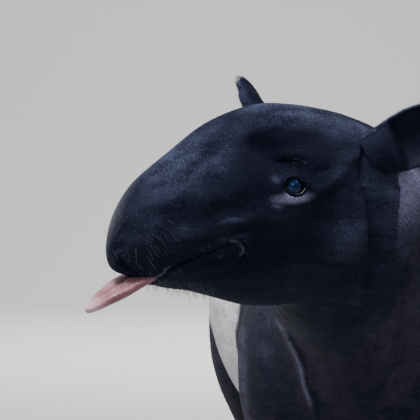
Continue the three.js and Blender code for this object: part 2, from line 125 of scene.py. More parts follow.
def eye_frame(hand):
    """Across the lids, up the lids, and out along the look of one eye."""
    look = unit([0.2, hand * 0.97, 0.1])
    across = unit(np.cross([0, 0, 1], look))
    place = [EYE_AT[0], hand * EYE_AT[1], EYE_AT[2]]
    return in_head(place, [across, np.cross(look, across), look])


SIDES = {"left": 1, "right": -1}
EYES = {side: eye_frame(hand) for side, hand in SIDES.items()}

eye_low, eye_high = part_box("eye_left")
SHIFT = np.array((eye_low + eye_high) / 2) / MM - EYES["left"][0]
print("shift of the animal in the frame, mm", SHIFT.round(2))


def to_frame(points):
    """Millimetres of the animal become metres of the frame."""
    return (np.asarray(points) + SHIFT) * MM


# %% [markdown]
# ## Camera
# The picture was taken level, from in front of the animal and a little to its right of the middle,
# at the height of the head, with a long lens: the trunk behind the head is strongly shortened and
# mostly outside the picture. The focal length is given for a 36 mm sensor.

# %% Camera
CAMERA_AT = [2400.0, -300.0, 950.0]
FOCAL_PIXELS = 1284
IMAGE_PIXELS = 420
SENSOR = 36

camera_data = bpy.data.cameras.new("camera")
camera_data.sensor_width = SENSOR
camera_data.lens = FOCAL_PIXELS / IMAGE_PIXELS * SENSOR
camera_data.clip_end = 50
camera = bpy.data.objects.new("camera", camera_data)
bpy.context.scene.collection.objects.link(camera)
camera.location = Vector(to_frame(CAMERA_AT))
camera.rotation_euler = (math.radians(90), 0, math.radians(90))
bpy.context.scene.camera = camera
print("camera", [round(v, 3) for v in camera.location], "lens", round(camera_data.lens, 1))

# %% [markdown]
# ## Forms as fields
# Flesh has no seams, so it isn't modelled as parts that are stuck together. Each form is a field:
# a number at every point in space that is negative inside, zero on the surface and positive
# outside. Two fields can be melted together with a soft crease, which no join of meshes gives.
# A tube's field comes from a few cross sections, called stations.

# %% Stations and tubes
NEAR = 120.0


def blended(stations, steps=10):
    """Catmull-Rom blend of the stations' numbers: a cubic through each pair, with slopes that are
    half the difference of the neighbours on either side."""
    rows = np.array(stations, float)
    padded = np.vstack([rows[:1], rows, rows[-1:]])
    before, start, end, after = padded[:-3], padded[1:-2], padded[2:-1], padded[3:]
    t = (np.arange(steps) / steps)[None, :, None]
    start_part = (2 * t**3 - 3 * t**2 + 1) * start[:, None]
    end_part = (3 * t**2 - 2 * t**3) * end[:, None]
    slope_in = (t**3 - 2 * t**2 + t) * (end - before)[:, None] / 2
    slope_out = (t**3 - t**2) * (after - start)[:, None] / 2
    fine = (start_part + end_part + slope_in + slope_out).reshape(-1, rows.shape[1])
    return np.vstack([fine, rows[-1:]])


def tube_form(part, stations):
    """Field of a tube. A station is along, side, up, half width, height above, depth below, crown
    and keel; the section is (side / half) to the power 2 / crown plus (up / rise) squared = 1."""
    rows = blended(stations)
    rows = rows[np.argsort(rows[:, 0])]
    reach = rows[:, 3:6].max() + np.abs(rows[:, 1:3]).max() + NEAR

    def field(points):
        place = seen(part, points)
        low, high = rows[0, 0], rows[-1, 0]
        near = (place[:, 0] > low - NEAR) & (place[:, 0] < high + NEAR)
        near &= (np.abs(place[:, 1]) < reach) & (np.abs(place[:, 2]) < reach)
        along, side, up = place[near].T
        values = [np.interp(along, rows[:, 0], rows[:, k]) for k in range(1, 8)]
        side = np.abs(side - values[0])
        up = up - values[1]
        over = up > 0
        rise = np.where(over, values[3], values[4])
        power = np.where(over, values[5], values[6])
        across = side / values[2]
        tall = up / rise
        level = np.sqrt(across ** (2 / power) + tall**2)
        slope = np.sqrt((across / values[2]) ** 2 + (tall / rise) ** 2)
        ratio = np.where(level < 0.01, np.minimum(values[2], rise), level / (slope + 1e-9))
        around = (level - 1) * ratio
        beyond = np.maximum(np.maximum(low - along, along - high), 0)
        capped = np.where(around > 0, np.hypot(around, beyond), np.maximum(around, beyond))
        result = np.full(len(points), NEAR)
        result[near] = np.where(beyond > 0, capped, around)
        return result

    return field


def ball_form(part, middle, radii, turn=0):
    """Field of an ellipsoid, turned by some degrees about its part's side axis."""
    angle = math.radians(turn)
    along = [math.cos(angle), 0, -math.sin(angle)]
    up = [math.sin(angle), 0, math.cos(angle)]
    axes = np.array([along, [0, 1, 0], up]) @ part[1]
    own = (put(part, middle), axes)
    radii = np.array(radii, float)
    reach = radii.max() + NEAR

    def field(points):
        place = seen(own, points)
        near = (np.abs(place) < reach).all(axis=1)
        scaled = place[near] / radii
        level = np.linalg.norm(scaled, axis=1)
        slope = np.linalg.norm(scaled / radii, axis=1)
        ratio = np.where(level < 0.01, radii.min(), level / (slope + 1e-9))
        result = np.full(len(points), NEAR)
        result[near] = (level - 1) * ratio
        return result

    return field


def melt(one, other, reach):
    """Union with a soft crease: the smaller field, less a quarter of the reach where they are equal."""
    share = np.clip(1 - np.abs(one - other) / reach, 0, 1)
    return np.minimum(one, other) - share * share * reach / 4


def carve(one, tool, reach):
    """One form less a tool, with a soft edge."""
    return -melt(-one, tool, reach)


# %% [markdown]
# ## The stations of the body
# These are the same sizes that the solids were made from, so that the skin lies where the frame
# says: the barrel of the trunk, the thick neck with its crest, the deep head with its short trunk
# of a nose, and legs whose elbow and stifle are hidden in the body.

# %% Trunk, neck and head
WITHERS = 956
CROUP = 992
CHEST_FLOOR = 448
BELLY = 424
GIRTH_HALF = 304
HEAD_LENGTH = 380

trunk_stations = [
    [252, 0, 640, 40, 50, 50, 1, 1],
    [215, 0, 640, 90, 120, 125, 1, 1],
    [120, 0, 690, 152, 205, 225, 1, 1],
    [0, 0, 690, 222, WITHERS - 690, 690 - CHEST_FLOOR, 1.1, 0.85],
    [-170, 0, 700, 252, WITHERS - 704, 692 - CHEST_FLOOR, 1.05, 0.95],
    [-360, 0, 738, 288, WITHERS - 742, 738 - BELLY, 1, 0.93],
    [-540, 0, 748, GIRTH_HALF, WITHERS - 734, 740 - BELLY, 0.95, 0.95],
    [-710, 0, 725, 290, CROUP - 725, 250, 0.95, 1.05],
    [-860, 0, 720, 258, CROUP - 724, 195, 0.95, 0.95],
    [-965, 0, 740, 204, 216, 165, 0.95, 1],
    [-1040, 0, 765, 128, 140, 110, 1, 1],
    [-1066, 0, 780, 60, 60, 50, 1, 1],
]

neck_stations = [
    [-120, 0, -10, 150, 150, 160, 1, 1],
    [0, 0, 0, 186, 205, 240, 1.1, 1.1],
    [0.3 * NECK_LENGTH, 6, 8, 162, 190, 232, 1.15, 1.15],
    [0.6 * NECK_LENGTH, 8, 14, 152, 172, 206, 1, 1.1],
    [0.85 * NECK_LENGTH, 6, 6, 142, 158, 178, 0.9, 1],
    [NECK_LENGTH, 6, 0, 112, 130, 130, 1, 1],
    [NECK_LENGTH + 50, 0, 0, 50, 60, 60, 1, 1],
]

head_stations = [
    [-95, 0, -50, 60, 70, 70, 1, 1],
    [-60, 0, -45, 98, 108, 125, 1, 1],
    [0, 0, -40, 106, 123, 152, 1.1, 0.9],
    [60, 0, -35, 101, 127, 163, 1.15, 0.85],
    [110, 0, -35, 96, 130, 167, 1.15, 0.85],
    [155, 0, -40, 86, 133, 160, 1.1, 0.9],
    [205, 0, -48, 71, 127, 140, 1.05, 0.95],
    [250, 0, -58, 58, 115, 119, 1, 1],
    [292, 0, -72, 50, 97, 99, 1, 1],
    [320, 0, -80, 46, 83, 82, 1, 1],
    [345, 0, -88, 41, 69, 64, 1, 1],
    [363, 0, -98, 34, 51, 51, 1, 1],
    [HEAD_LENGTH - 5, 0, -109, 20, 28, 31, 1, 1],
    [HEAD_LENGTH, 0, -113, 6, 9, 10, 1, 1],
]

# %% Legs and toes: height, outward, forward, half width, before, behind, square front and back
ELBOW = 505
CARPUS = 300
HOCK = 335
FETLOCK = 112
FRONT_TRACK = 142
HIND_TRACK = 165
HIND_LINE = -812
STRIDE = {"front_left": 34, "front_right": -26, "hind_left": -40, "hind_right": 30}

front_leg_stations = [
    [700, 132, 10, 92, 120, 120, 1, 1],
    [600, 144, 4, 94, 112, 112, 1, 1],
    [ELBOW, 148, -4, 76, 88, 96, 1, 1],
    [400, 146, 2, 60, 62, 66, 1, 1],
    [330, 144, 6, 49, 50, 52, 0.9, 0.9],
    [CARPUS, 143, 8, 48, 50, 48, 0.85, 0.9],
    [235, 142, 8, 40, 41, 42, 0.9, 0.9],
    [160, FRONT_TRACK, 12, 42, 42, 44, 0.9, 0.9],
    [FETLOCK, FRONT_TRACK, 16, 47, 47, 48, 0.9, 0.9],
    [60, FRONT_TRACK, 18, 50, 46, 52, 0.9, 0.9],
    [0, FRONT_TRACK, 14, 46, 40, 48, 0.9, 0.9],
]

hind_leg_stations = [
    [800, 110, 20, 130, 150, 160, 1, 1],
    [700, 148, 26, 138, 172, 208, 1, 1],
    [600, 168, 30, 130, 172, 192, 1, 1],
    [520, 174, 24, 106, 156, 156, 1, 1],
    [460, 171, 0, 84, 122, 116, 1, 1],
    [400, 168, -30, 62, 86, 82, 1, 1],
    [HOCK, HIND_TRACK, -50, 46, 58, 62, 0.95, 0.95],
    [280, HIND_TRACK, -52, 41, 46, 50, 0.9, 0.95],
    [190, HIND_TRACK, -38, 38, 40, 42, 0.9, 0.9],
    [FETLOCK, HIND_TRACK, -14, 43, 45, 46, 0.9, 0.9],
    [60, HIND_TRACK, -2, 47, 44, 52, 0.9, 0.9],
    [0, HIND_TRACK, -4, 43, 38, 48, 0.9, 0.9],
]

# A toe is forward, outward, half width and hoof height, from the inner toe to the outer one
front_toes = [[43, -37, 19, 38], [66, 0, 23, 44], [43, 38, 19, 38], [0, 55, 14, 30]]
hind_toes = [[28, -35, 18, 36], [49, 0, 22, 42], [28, 35, 18, 36]]

LEGS = []
for end, stations, line, track, toes in (
    ("front", front_leg_stations, 0, FRONT_TRACK, front_toes),
    ("hind", hind_leg_stations, HIND_LINE, HIND_TRACK, hind_toes),
):
    for side, hand in SIDES.items():
        name = end + "_" + side
        origin = np.array([line + STRIDE[name], 0.0, 0.0])
        part = (origin, np.array([[0.0, 0.0, 1.0], [0.0, hand, 0.0], [1.0, 0.0, 0.0]]))
        LEGS.append({"name": name, "part": part, "stations": stations, "track": track, "toes": toes})
print("legs", [leg["name"] for leg in LEGS])

# %% Tail and ears
TAIL_LENGTH = 112
TAIL_DROP = unit([-0.7, 0, -0.714])
TAIL_AXES = np.array([TAIL_DROP, [0, 1, 0], np.cross(TAIL_DROP, [0, 1, 0])])
TAIL = (np.array([-1026.0, 0.0, 878.0]), TAIL_AXES)

tail_stations = [
    [-34, 0, 0, 30, 24, 24, 1, 1],
    [0, 0, 2, 28, 24, 22, 1, 1],
    [0.5 * TAIL_LENGTH, 0, 4, 22, 18, 16, 1, 1],
    [0.85 * TAIL_LENGTH, 0, 3, 15, 12, 11, 1, 1],
    [TAIL_LENGTH, 0, 1, 6, 5, 5, 1, 1],
]

EAR_LENGTH = 124
EAR_PLACES = {
    "left": {"root": [-6, 84, 40], "lean": [-0.7, 0.5, 0.52], "open": [0.45, 0.88, 0.05]},
    "right": {"root": [68, -99, 13], "lean": [0.1, -0.53, 0.83], "open": [0.58, -0.6, -0.47]},
}

# Share of the length, half width, depth of the back, depth of the cup
ear_stations = [
    [-0.2, 32, 26, -16],
    [0.02, 36, 29, -18],
    [0.14, 39, 29, -12],
    [0.24, 41, 29, 13],
    [0.45, 43, 26, 18],
    [0.68, 37, 20, 13],
    [0.86, 25, 13, 7],
    [0.97, 11, 6.5, 2.6],
]


def ear_frame(place):
    """Along the ear, across it, and out of its cup."""
    along = unit(place["lean"])
    side = unit(np.cross(place["open"], along))
    return in_head(place["root"], [along, side, np.cross(along, side)])


EARS = {side: ear_frame(place) for side, place in EAR_PLACES.items()}
print("ear roots", {side: part[0].round() for side, part in EARS.items()})

# %% [markdown]
# ## The whole flesh as one field
# Each form melts into the last with the crease that the real animal has there: wide where a leg
# runs into the flank, tight between the toes. The field is then raised by the depth of the coat,
# so that the fur ends where the solid begins. Under the soles there is no coat.

# %% Flesh
COAT = 2.5
SOLE_LIFT = 1.0
CREASE = {"mass": 60, "neck": 60, "head": 30, "toe": 10, "leg": 34, "tail": 16, "ear": 18}

trunk_form = tube_form(TRUNK, trunk_stations)
neck_form = tube_form(NECK, neck_stations)
head_form = tube_form(HEAD, head_stations)
tail_form = tube_form(TAIL, tail_stations)
mass_forms = []
for hand in SIDES.values():
    mass_forms.append(ball_form(TRUNK, [18, hand * 118, 672], [150, 126, 196], 8))
    mass_forms.append(ball_form(TRUNK, [HIND_LINE + 30, hand * 150, 700], [190, 142, 215], -8))


def toe_form(leg, toe):
    """The flesh over one toe: an ellipsoid that leans back over its hoof."""
    forward, outward, half, height = toe
    middle = [1.15 * height, leg["track"] + 0.78 * outward, 0.66 * forward]
    return ball_form(leg["part"], middle, [1.25 * height, 1.12 * half, 1.5 * half], 22)


leg_forms = []
for leg in LEGS:
    toes = [toe_form(leg, toe) for toe in leg["toes"]]
    leg_forms.append((tube_form(leg["part"], leg["stations"]), toes))

ear_root_stations = [
    [-30, 0, -2, 30, 16, 26, 1, 1],
    [0, 0, -2, 36, 16, 28, 1, 1],
    [14, 0, -6, 36, 8, 22, 1, 1],
    [26, 0, -12, 26, 4, 12, 1, 1],
]
ear_root_forms = [tube_form(part, ear_root_stations) for part in EARS.values()]


def flesh(points):
    """The field of the whole body without the head's features."""
    body = trunk_form(points)
    for mass in mass_forms:
        body = melt(body, mass(points), CREASE["mass"])
    body = melt(body, neck_form(points), CREASE["neck"])
    body = melt(body, head_form(points), CREASE["head"])
    for tube, toes in leg_forms:
        limb = tube(points)
        for toe in toes:
            limb = melt(limb, toe(points), CREASE["toe"])
        body = melt(body, limb, CREASE["leg"])
    body = melt(body, tail_form(points), CREASE["tail"])
    for root in ear_root_forms:
        body = melt(body, root(points), CREASE["ear"])
    body = body + COAT * np.clip(points[:, 2] / 20, 0, 1)
    return np.maximum(body, SOLE_LIFT - points[:, 2])

# %% [markdown]
# ## The head's openings and rims
# Lips, mouth, nostrils and lids are fields as well. The mouth is a groove along a bent line that is
# the same on both sides of the head, cut a few millimetres deep, and each lip is a round bead that
# rides on the skin beside it. The lids start as a soft mound round a socket for the eyeball.

# %% Mouth, nostrils and sockets
MOUTH_LINE = [
    [352, -160], [338, -158], [326, -157], [317, -153], [311, -146], [307, -136],
    [299, -128], [284, -122], [258, -111], [232, -100], [216, -93], [208, -99],
]
MOUTH_DEPTH = 12
MOUTH_OPEN = 0.36
LIP_BEADS = [(5.5, 4.5), (-6.0, 4.5)]
LID_OPENING = [20.0, 15.0]
LID_ROUND = 3.8
LID_DEPTH = 12.0
NOSTRIL = {"place": [362, 15, -132], "radii": [11, 5, 13], "turn": 30}


def from_line(line, across, rise):
    """Distance of flat points from a bent line, its sign (over the line is positive), and the
    share of the line's length at the nearest place."""
    line = np.array(line, float)
    start, end = line[:-1], line[1:]
    run = end - start
    flat = np.stack([across, rise], axis=1)[:, None, :] - start[None]
    share = np.clip((flat * run).sum(axis=2) / (run * run).sum(axis=1), 0, 1)
    away = flat - share[..., None] * run
    distance = np.hypot(away[..., 0], away[..., 1])
    best = distance.argmin(axis=1)
    rows = np.arange(len(best))
    turn = run[best, 0] * away[rows, best, 1] - run[best, 1] * away[rows, best, 0]
    sign = np.where(turn * np.sign(run[:, 0].sum()) >= 0, 1.0, -1.0)
    share = (best + share[rows, best]) / len(run)
    return distance[rows, best], sign, share


def ridge(line, width, across, rise):
    """1 on a bent line, fading to 0 beyond its half width, and the share of the line's length."""
    distance, _, share = from_line(line, across, rise)
    return np.exp(-((distance / width) ** 2)), share


def folds(table, across, rise, power):
    """Sum of ridges, each times its height and times a power of the sine of its share, so that
    it fades out at both ends of its line."""
    height = np.zeros(len(across))
    for line, width, size in table:
        near, share = ridge(line, width, across, rise)
        height += size * near * np.sin(np.pi * share.clip(0, 1)) ** power
    return height


def patch(along, up, middle, size, turn=0):
    """1 in the middle of an oval in the head's side view, fading to 0 beyond its size."""
    angle = math.radians(turn)
    away, rise = along - middle[0], up - middle[1]
    long = (away * math.cos(angle) + rise * math.sin(angle)) / size[0]
    tall = (rise * math.cos(angle) - away * math.sin(angle)) / size[1]
    return np.exp(-(long * long + tall * tall))


def ramp(values, start, end):
    """0 before the start, 1 after the end, with a smooth S between."""
    t = np.clip((values - start) / (end - start), 0, 1)
    return t * t * (3 - 2 * t)


nostril_forms = []
for hand in SIDES.values():
    along, side, up = NOSTRIL["place"]
    nostril_forms.append(ball_form(HEAD, [along, hand * side, up], NOSTRIL["radii"], NOSTRIL["turn"]))

# %% [markdown]
# ## Bones, muscles and folds
# Under the fur the cheekbone runs as a ridge from the eye to the ear, a hollow lies in front of the
# brow, the chewing muscle swells the back of the cheek, and a groove parts it from the neck. Each
# is a soft oval or a line in the head's side view, with a height in millimetres, and the field is
# lowered by that height where the skin should stand out.

# %% Relief
# Middle along and up, size along and up, turn in degrees, height
SWELLINGS = [
    ([92, -2], [46, 9], -36, 5.0),
    ([150, 27], [24, 7], -6, 4.0),
    ([52, -84], [38, 46], 0, 8.0),
    ([170, 22], [48, 20], 24, -15.0),
    ([118, 46], [40, 15], -16, -4.0),
    ([150, 74], [70, 9], -22, 3.5),
    ([118, -60], [26, 20], 30, -5.0),
    ([165, -74], [34, 18], 10, -4.5),
    ([250, -26], [60, 20], -30, 6.0),
    ([268, 12], [50, 9], -40, -4.0),
    ([286, -92], [34, 14], -24, 3.5),
    ([296, -52], [26, 16], -50, -4.0),
    ([205, -98], [8, 12], 0, 4.0),
    ([226, -64], [26, 7], -8, 5.0),
    ([226, -80], [22, 8], -12, -3.5),
    ([170, -8], [10, 5], 10, 2.4),
    ([140, -42], [24, 7], -6, 3.0),
    ([20, 55], [30, 20], 0, 4.0),
    ([262, -134], [34, 8], -16, 2.5),
]

# Line in the head's side view, half width, height
FOLDS = [
    ([[44, 26], [24, -20], [12, -66], [-4, -112], [-2, -160]], 9, -9.0),
    ([[16, 68], [24, 42], [29, 16], [31, -8]], 12, -8.0),
    ([[30, 50], [40, 18], [34, -12]], 6, 3.5),
    ([[256, -70], [240, -61], [226, -59], [210, -61], [194, -69]], 3.4, -3.0),
    ([[216, -92], [206, -98], [202, -110], [206, -124]], 3.0, -3.4),
    ([[224, -84], [208, -86], [196, -98], [194, -114]], 4.5, 3.0),
    ([[226, -92], [214, -94], [209, -101], [208, -112]], 1.9, 1.8),
    ([[232, -112], [222, -122], [216, -136]], 3.0, -1.6),
    ([[262, -120], [256, -132], [252, -146]], 3.0, -1.2),
    ([[178, 8], [160, 18], [142, 18], [124, 8]], 2.4, -1.5),
    ([[182, 14], [160, 26], [140, 26], [118, 15]], 2.6, -0.9),
    ([[178, -26], [162, -38], [144, -42], [124, -36]], 2.6, -2.4),
    ([[172, -36], [154, -48], [134, -49]], 2.8, -1.8),
    ([[120, 2], [104, 10], [90, 14]], 3.0, -1.6),
    ([[118, -8], [102, -4], [88, 0]], 2.6, -1.2),
]
NOSE_RINGS = {"length": 8.5, "height": 0.2, "start": 270}

# The breast seen from the front: line in side and height, half width, height of the relief
BREAST_FOLDS = [
    ([[-184, 756], [-175, 742], [-152, 695], [-142, 655], [-126, 615], [-112, 570]], 6, 5.5),
    ([[-178, 785], [-166, 762], [-148, 732], [-126, 690], [-116, 650], [-100, 610]], 14, -4.0),
    ([[-222, 790], [-216, 740], [-206, 690], [-198, 640]], 12, -4.0),
    ([[-236, 770], [-222, 709], [-210, 676], [-198, 623]], 9, 4.0),
    ([[-60, 760], [-40, 680], [-30, 600], [-34, 520]], 24, -7.0),
    ([[-70, 820], [0, 740], [40, 660], [60, 580]], 34, 2.0),
]


def relief(along, side, up):
    """Height of the skin over the plain form, from a place in the head's axes."""
    outer = ramp(np.abs(side), 18, 42)
    height = np.zeros(len(along))
    for middle, size, turn, rise in SWELLINGS:
        height += rise * patch(along, up, middle, size, turn)
    height += folds(FOLDS, along, up, 0.35)
    near, share = ridge(MOUTH_LINE, 2.3, along, up)
    height = (height - 2.6 * near * ramp(share, 0.2, 0.4)) * outer
    rings = NOSE_RINGS["height"] * np.sin(2 * np.pi * (along + 0.4 * up) / NOSE_RINGS["length"])
    return height + rings * ramp(along, NOSE_RINGS["start"], 330) * ramp(up, -150, -110)


def breast_relief(points):
    """Folds of loose skin between the neck and the right shoulder, and soft hollows by the breast."""
    x, y, z = points.T
    return folds(BREAST_FOLDS, y, z, 0.5) * ramp(x, 60, 140) * ramp(-x, -530, -440)


def lid_mound(part, points):
    """A ring of round section, stretched to the lids' oval, in front of the eyeball."""
    across, up, out = seen(part, points).T
    oval = np.hypot(across / LID_OPENING[0], up / LID_OPENING[1])
    away = (oval - 1) * np.hypot(across, up) / np.maximum(oval, 0.05)
    return np.hypot(away, out - LID_DEPTH) - LID_ROUND


def raised(points, skin):
    """Points near the head: the relief, the lips and the lids' mounds added to the body's field."""
    along, side, up = seen(HEAD, points).T
    skin = skin - relief(along, side, up)
    distance, sign, share = from_line(MOUTH_LINE, along, up)
    signed = distance * sign
    full = ramp(share, 0, 0.15) * (0.35 + 0.65 * ramp(-share, -1, -0.8))
    for lift, radius in LIP_BEADS:
        bead = np.hypot(signed - lift, skin + 2.5) - radius * (0.6 + 0.4 * full)
        skin = melt(skin, np.where(distance > 20, NEAR, bead), 9)
    for eye in EYES.values():
        skin = melt(skin, lid_mound(eye, points), 12)
    return skin


def features(points, body):
    """The head's rims and openings, added to and carved out of the body's field."""
    along, side, up = seen(HEAD, points).T
    near = (along > -60) & (along < 420) & (np.abs(side) < 150) & (up > -300) & (up < 140)
    near &= np.abs(body) < 60
    part = points[near]
    skin = raised(part, body[near])
    distance, _, share = from_line(MOUTH_LINE, along[near], up[near])
    groove = 2.2 * (1 - ramp(share, MOUTH_OPEN - 0.16, MOUTH_OPEN))
    slit = np.maximum(distance - groove, -(body[near] + MOUTH_DEPTH))
    skin = carve(skin, slit, 3)
    for form in nostril_forms:
        skin = carve(skin, form(part), 4)
    for eye in EYES.values():
        ball = np.linalg.norm(part - eye[0], axis=1) - (EYE_RADIUS + 0.4)
        skin = carve(skin, ball, 1.5)
    result = body.copy()
    result[near] = skin
    return result


def animal(points):
    """The field of the whole animal's skin."""
    body = flesh(points)
    x, _, z = points.T
    breast = (x > 60) & (x < 530) & (z > 420) & (z < 880) & (np.abs(body) < 60)
    body[breast] -= breast_relief(points[breast])
    return features(points, body)


# %% [markdown]
# ## From the field to a mesh
# Surface nets: lay a grid over space, mark the grid's edges whose two ends lie on different sides
# of the surface, put one vertex in each cell at the mean of its marked edges, and one face across
# each marked edge. The grid is fine at the head and coarse at the rump: the distance from a point
# of the face grows with the number of steps r = (h / k) (e to the power k n, less 1), until the
# step is as long as the body needs. Only blocks near the surface are worked out in full.

# %% Warped grid
FOCUS = put(HEAD, [205, 40, -60])
FINE_STEP = 2.38
STEP_GROWTH = 0.0135
COARSE_STEP = 14.0
BLOCK = 4

GROWING = math.log(COARSE_STEP / FINE_STEP) / STEP_GROWTH
GROWN = (COARSE_STEP - FINE_STEP) / STEP_GROWTH


def reach_of(steps):
    """Distance in millimetres of a number of steps from the focus."""
    early = FINE_STEP / STEP_GROWTH * np.expm1(STEP_GROWTH * np.minimum(steps, GROWING))
    return early + COARSE_STEP * np.maximum(steps - GROWING, 0)


def steps_of(reach):
    """The other way round: how many steps a distance takes."""
    early = np.log1p(np.minimum(reach, GROWN) * STEP_GROWTH / FINE_STEP) / STEP_GROWTH
    return early + np.maximum(reach - GROWN, 0) / COARSE_STEP


def warped(grid_points):
    """Grid places, in steps from the focus, become points of the animal."""
    steps = np.linalg.norm(grid_points, axis=1)
    return FOCUS + grid_points * (reach_of(steps) / np.maximum(steps, 1e-6))[:, None]


def unwarped(points):
    """Points of the animal become grid places."""
    away = points - FOCUS
    reach = np.linalg.norm(away, axis=1)
    return away * (steps_of(reach) / np.maximum(reach, 1e-6))[:, None]


BODY_LOW = np.array([-1120.0, -440.0, -12.0])
BODY_HIGH = np.array([730.0, 330.0, 1150.0])


def lattice(*ticks):
    """Every combination of three rows of numbers, as rows of three."""
    return np.stack(np.meshgrid(*ticks, indexing="ij"), axis=-1).reshape(-1, 3)


def grid_box():
    """Whole-numbered corners of a grid that holds the animal's box."""
    corners = lattice(*[np.linspace(0, 1, 24)] * 3)
    places = unwarped(BODY_LOW + corners * (BODY_HIGH - BODY_LOW))
    low = np.floor(places.min(axis=0)).astype(int) - BLOCK
    high = np.ceil(places.max(axis=0)).astype(int) + BLOCK
    count = -(-(high - low) // BLOCK) * BLOCK
    return low, count


GRID_LOW, GRID_COUNT = grid_box()
print("grid", GRID_COUNT, "points", int(GRID_COUNT.prod()))


# %% Field on the grid
def grid_field():
    """The field at every grid point: worked out in blocks near the skin, and elsewhere only its
    sign, from each block's middle."""
    blocks = GRID_COUNT // BLOCK
    index = lattice(*[np.arange(n) for n in blocks])
    middles = warped(index * BLOCK + (BLOCK - 1) / 2 + GRID_LOW)
    coarse = animal(middles)
    away = np.linalg.norm(middles - FOCUS, axis=1)
    step = np.clip(FINE_STEP + STEP_GROWTH * away, 0, COARSE_STEP)
    active = np.abs(coarse) < 4.6 * step + 14
    signs = np.where(coarse < 0, -1.0, 1.0).astype(np.float32).reshape(blocks)
    field = signs.repeat(BLOCK, 0).repeat(BLOCK, 1).repeat(BLOCK, 2)
    inner = lattice(*[np.arange(BLOCK)] * 3)
    places = (index[active][:, None, :] * BLOCK + inner[None]).reshape(-1, 3)
    field[tuple(places.T)] = animal(warped((places + GRID_LOW).astype(float)))
    print("blocks", int(active.sum()), "of", len(active), "points worked out", len(places))
    return field


# %% Surface nets
def net_of(field):
    """Vertices and four-sided faces where the field changes sign."""
    inside = field < 0
    shape = np.array(field.shape)
    stride = np.array([shape[1] * shape[2], shape[2], 1])
    cell_list, place_list, quads = [], [], []
    for axis in range(3):
        ahead = np.roll(inside, -1, axis=axis)
        change = inside != ahead
        change[tuple(slice(-1, None) if k == axis else slice(None) for k in range(3))] = False
        index = np.argwhere(change)
        first = tuple(index.T)
        second = tuple((index + np.eye(3, dtype=int)[axis]).T)
        start, end = field[first], field[second]
        place = index + (start / (start - end))[:, None] * np.eye(3)[axis]
        one, two = ((1, 2), (2, 0), (0, 1))[axis]
        flat = index @ stride
        beside, below = flat - stride[one], flat - stride[two]
        around = np.stack([flat, beside, beside - stride[two], below], axis=1)
        cell_list.append(around.reshape(-1))
        place_list.append(np.repeat(place, 4, axis=0))
        quads.append(np.where(inside[first][:, None], around, around[:, ::-1]))
    cells = np.concatenate(cell_list)
    places = np.concatenate(place_list)
    names, rows = np.unique(cells, return_inverse=True)
    count = np.bincount(rows)
    means = np.stack([np.bincount(rows, places[:, k]) / count for k in range(3)], axis=1)
    faces = np.searchsorted(names, np.concatenate(quads))
    return warped(means + GRID_LOW), faces


# %% Settling the vertices on the surface
def gradient(points, reach=0.7):
    """Differences of the field along the three axes, over twice the reach."""
    result = np.empty_like(points)
    for k in range(3):
        step = np.eye(3)[k] * reach
        result[:, k] = (animal(points + step) - animal(points - step)) / (2 * reach)
    return result


def settled(points, turns=1):
    """Newton's step: back along the gradient by the field's value over the gradient squared."""
    for _ in range(turns):
        slope = gradient(points)
        size = np.maximum((slope * slope).sum(axis=1), 0.15)
        move = slope * (animal(points) / size)[:, None]
        length = np.linalg.norm(move, axis=1, keepdims=True)
        points = points - move * np.minimum(1, 4 / np.maximum(length, 1e-6))
    return points


def eased(points, faces, share=0.5):
    """Each vertex moves part of the way to the mean of its neighbours."""
    edges = np.concatenate([faces[:, [k, (k + 1) % 4]] for k in range(4)])
    edges = np.concatenate([edges, edges[:, ::-1]])
    count = np.bincount(edges[:, 0], minlength=len(points))
    sums = [np.bincount(edges[:, 0], points[edges[:, 1], k], len(points)) for k in range(3)]
    means = np.stack(sums, axis=1) / count[:, None]
    return points + share * (means - points)


skin_points, skin_faces = net_of(grid_field())
for _ in range(2):
    skin_points = eased(skin_points, skin_faces)
    skin_points = settled(skin_points)
print("skin", len(skin_points), "vertices", 2 * len(skin_faces), "triangles")

# %% [markdown]
# ## From arrays to pieces
# A piece is an object at the origin whose place is in its mesh. The arrays of points and faces go
# in with foreach_set, which is far faster than adding faces one by one.

# %% Pieces and surfaces
def new_mesh(name, points, faces):
    """A mesh of equal-sided faces: points in the animal's millimetres, faces as rows of indices."""
    mesh = bpy.data.meshes.new(name)
    mesh.vertices.add(len(points))
    mesh.vertices.foreach_set("co", to_frame(points).astype(np.float32).ravel())
    mesh.loops.add(faces.size)
    mesh.loops.foreach_set("vertex_index", faces.astype(np.int32).ravel())
    mesh.polygons.add(len(faces))
    mesh.polygons.foreach_set("loop_start", np.arange(0, faces.size, faces.shape[1], dtype=np.int32))
    mesh.update(calc_edges=True)
    mesh.shade_smooth()
    return mesh


def new_piece(name, points, faces, material, replaced=()):
    """A piece of the animal: it rides on the body and takes the place of the named nodes."""
    piece = bpy.data.objects.new(name, new_mesh(name, points, faces))
    bpy.context.scene.collection.objects.link(piece)
    piece.data.materials.append(material)
    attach(piece, "root")
    if replaced:
        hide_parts(*replaced)
    return piece


def attribute(piece, name, values):
    """One number for each vertex, which a material reads by its name."""
    layer = piece.data.attributes.new(name, "FLOAT", "POINT")
    layer.data.foreach_set("value", np.asarray(values, np.float32).ravel())


def normals_of(piece):
    """The normal at each vertex of a piece."""
    normals = np.empty(len(piece.data.vertices) * 3, np.float32)
    piece.data.vertex_normals.foreach_get("vector", normals)
    return normals.reshape(-1, 3).astype(float)


def walls_of(rings, sides):
    """Four-sided faces between rings that close round."""
    ring, side = np.meshgrid(np.arange(rings - 1), np.arange(sides), indexing="ij")
    one = (ring * sides + side).ravel()
    two = (ring * sides + (side + 1) % sides).ravel()
    return np.stack([one, one + sides, two + sides, two], axis=1)


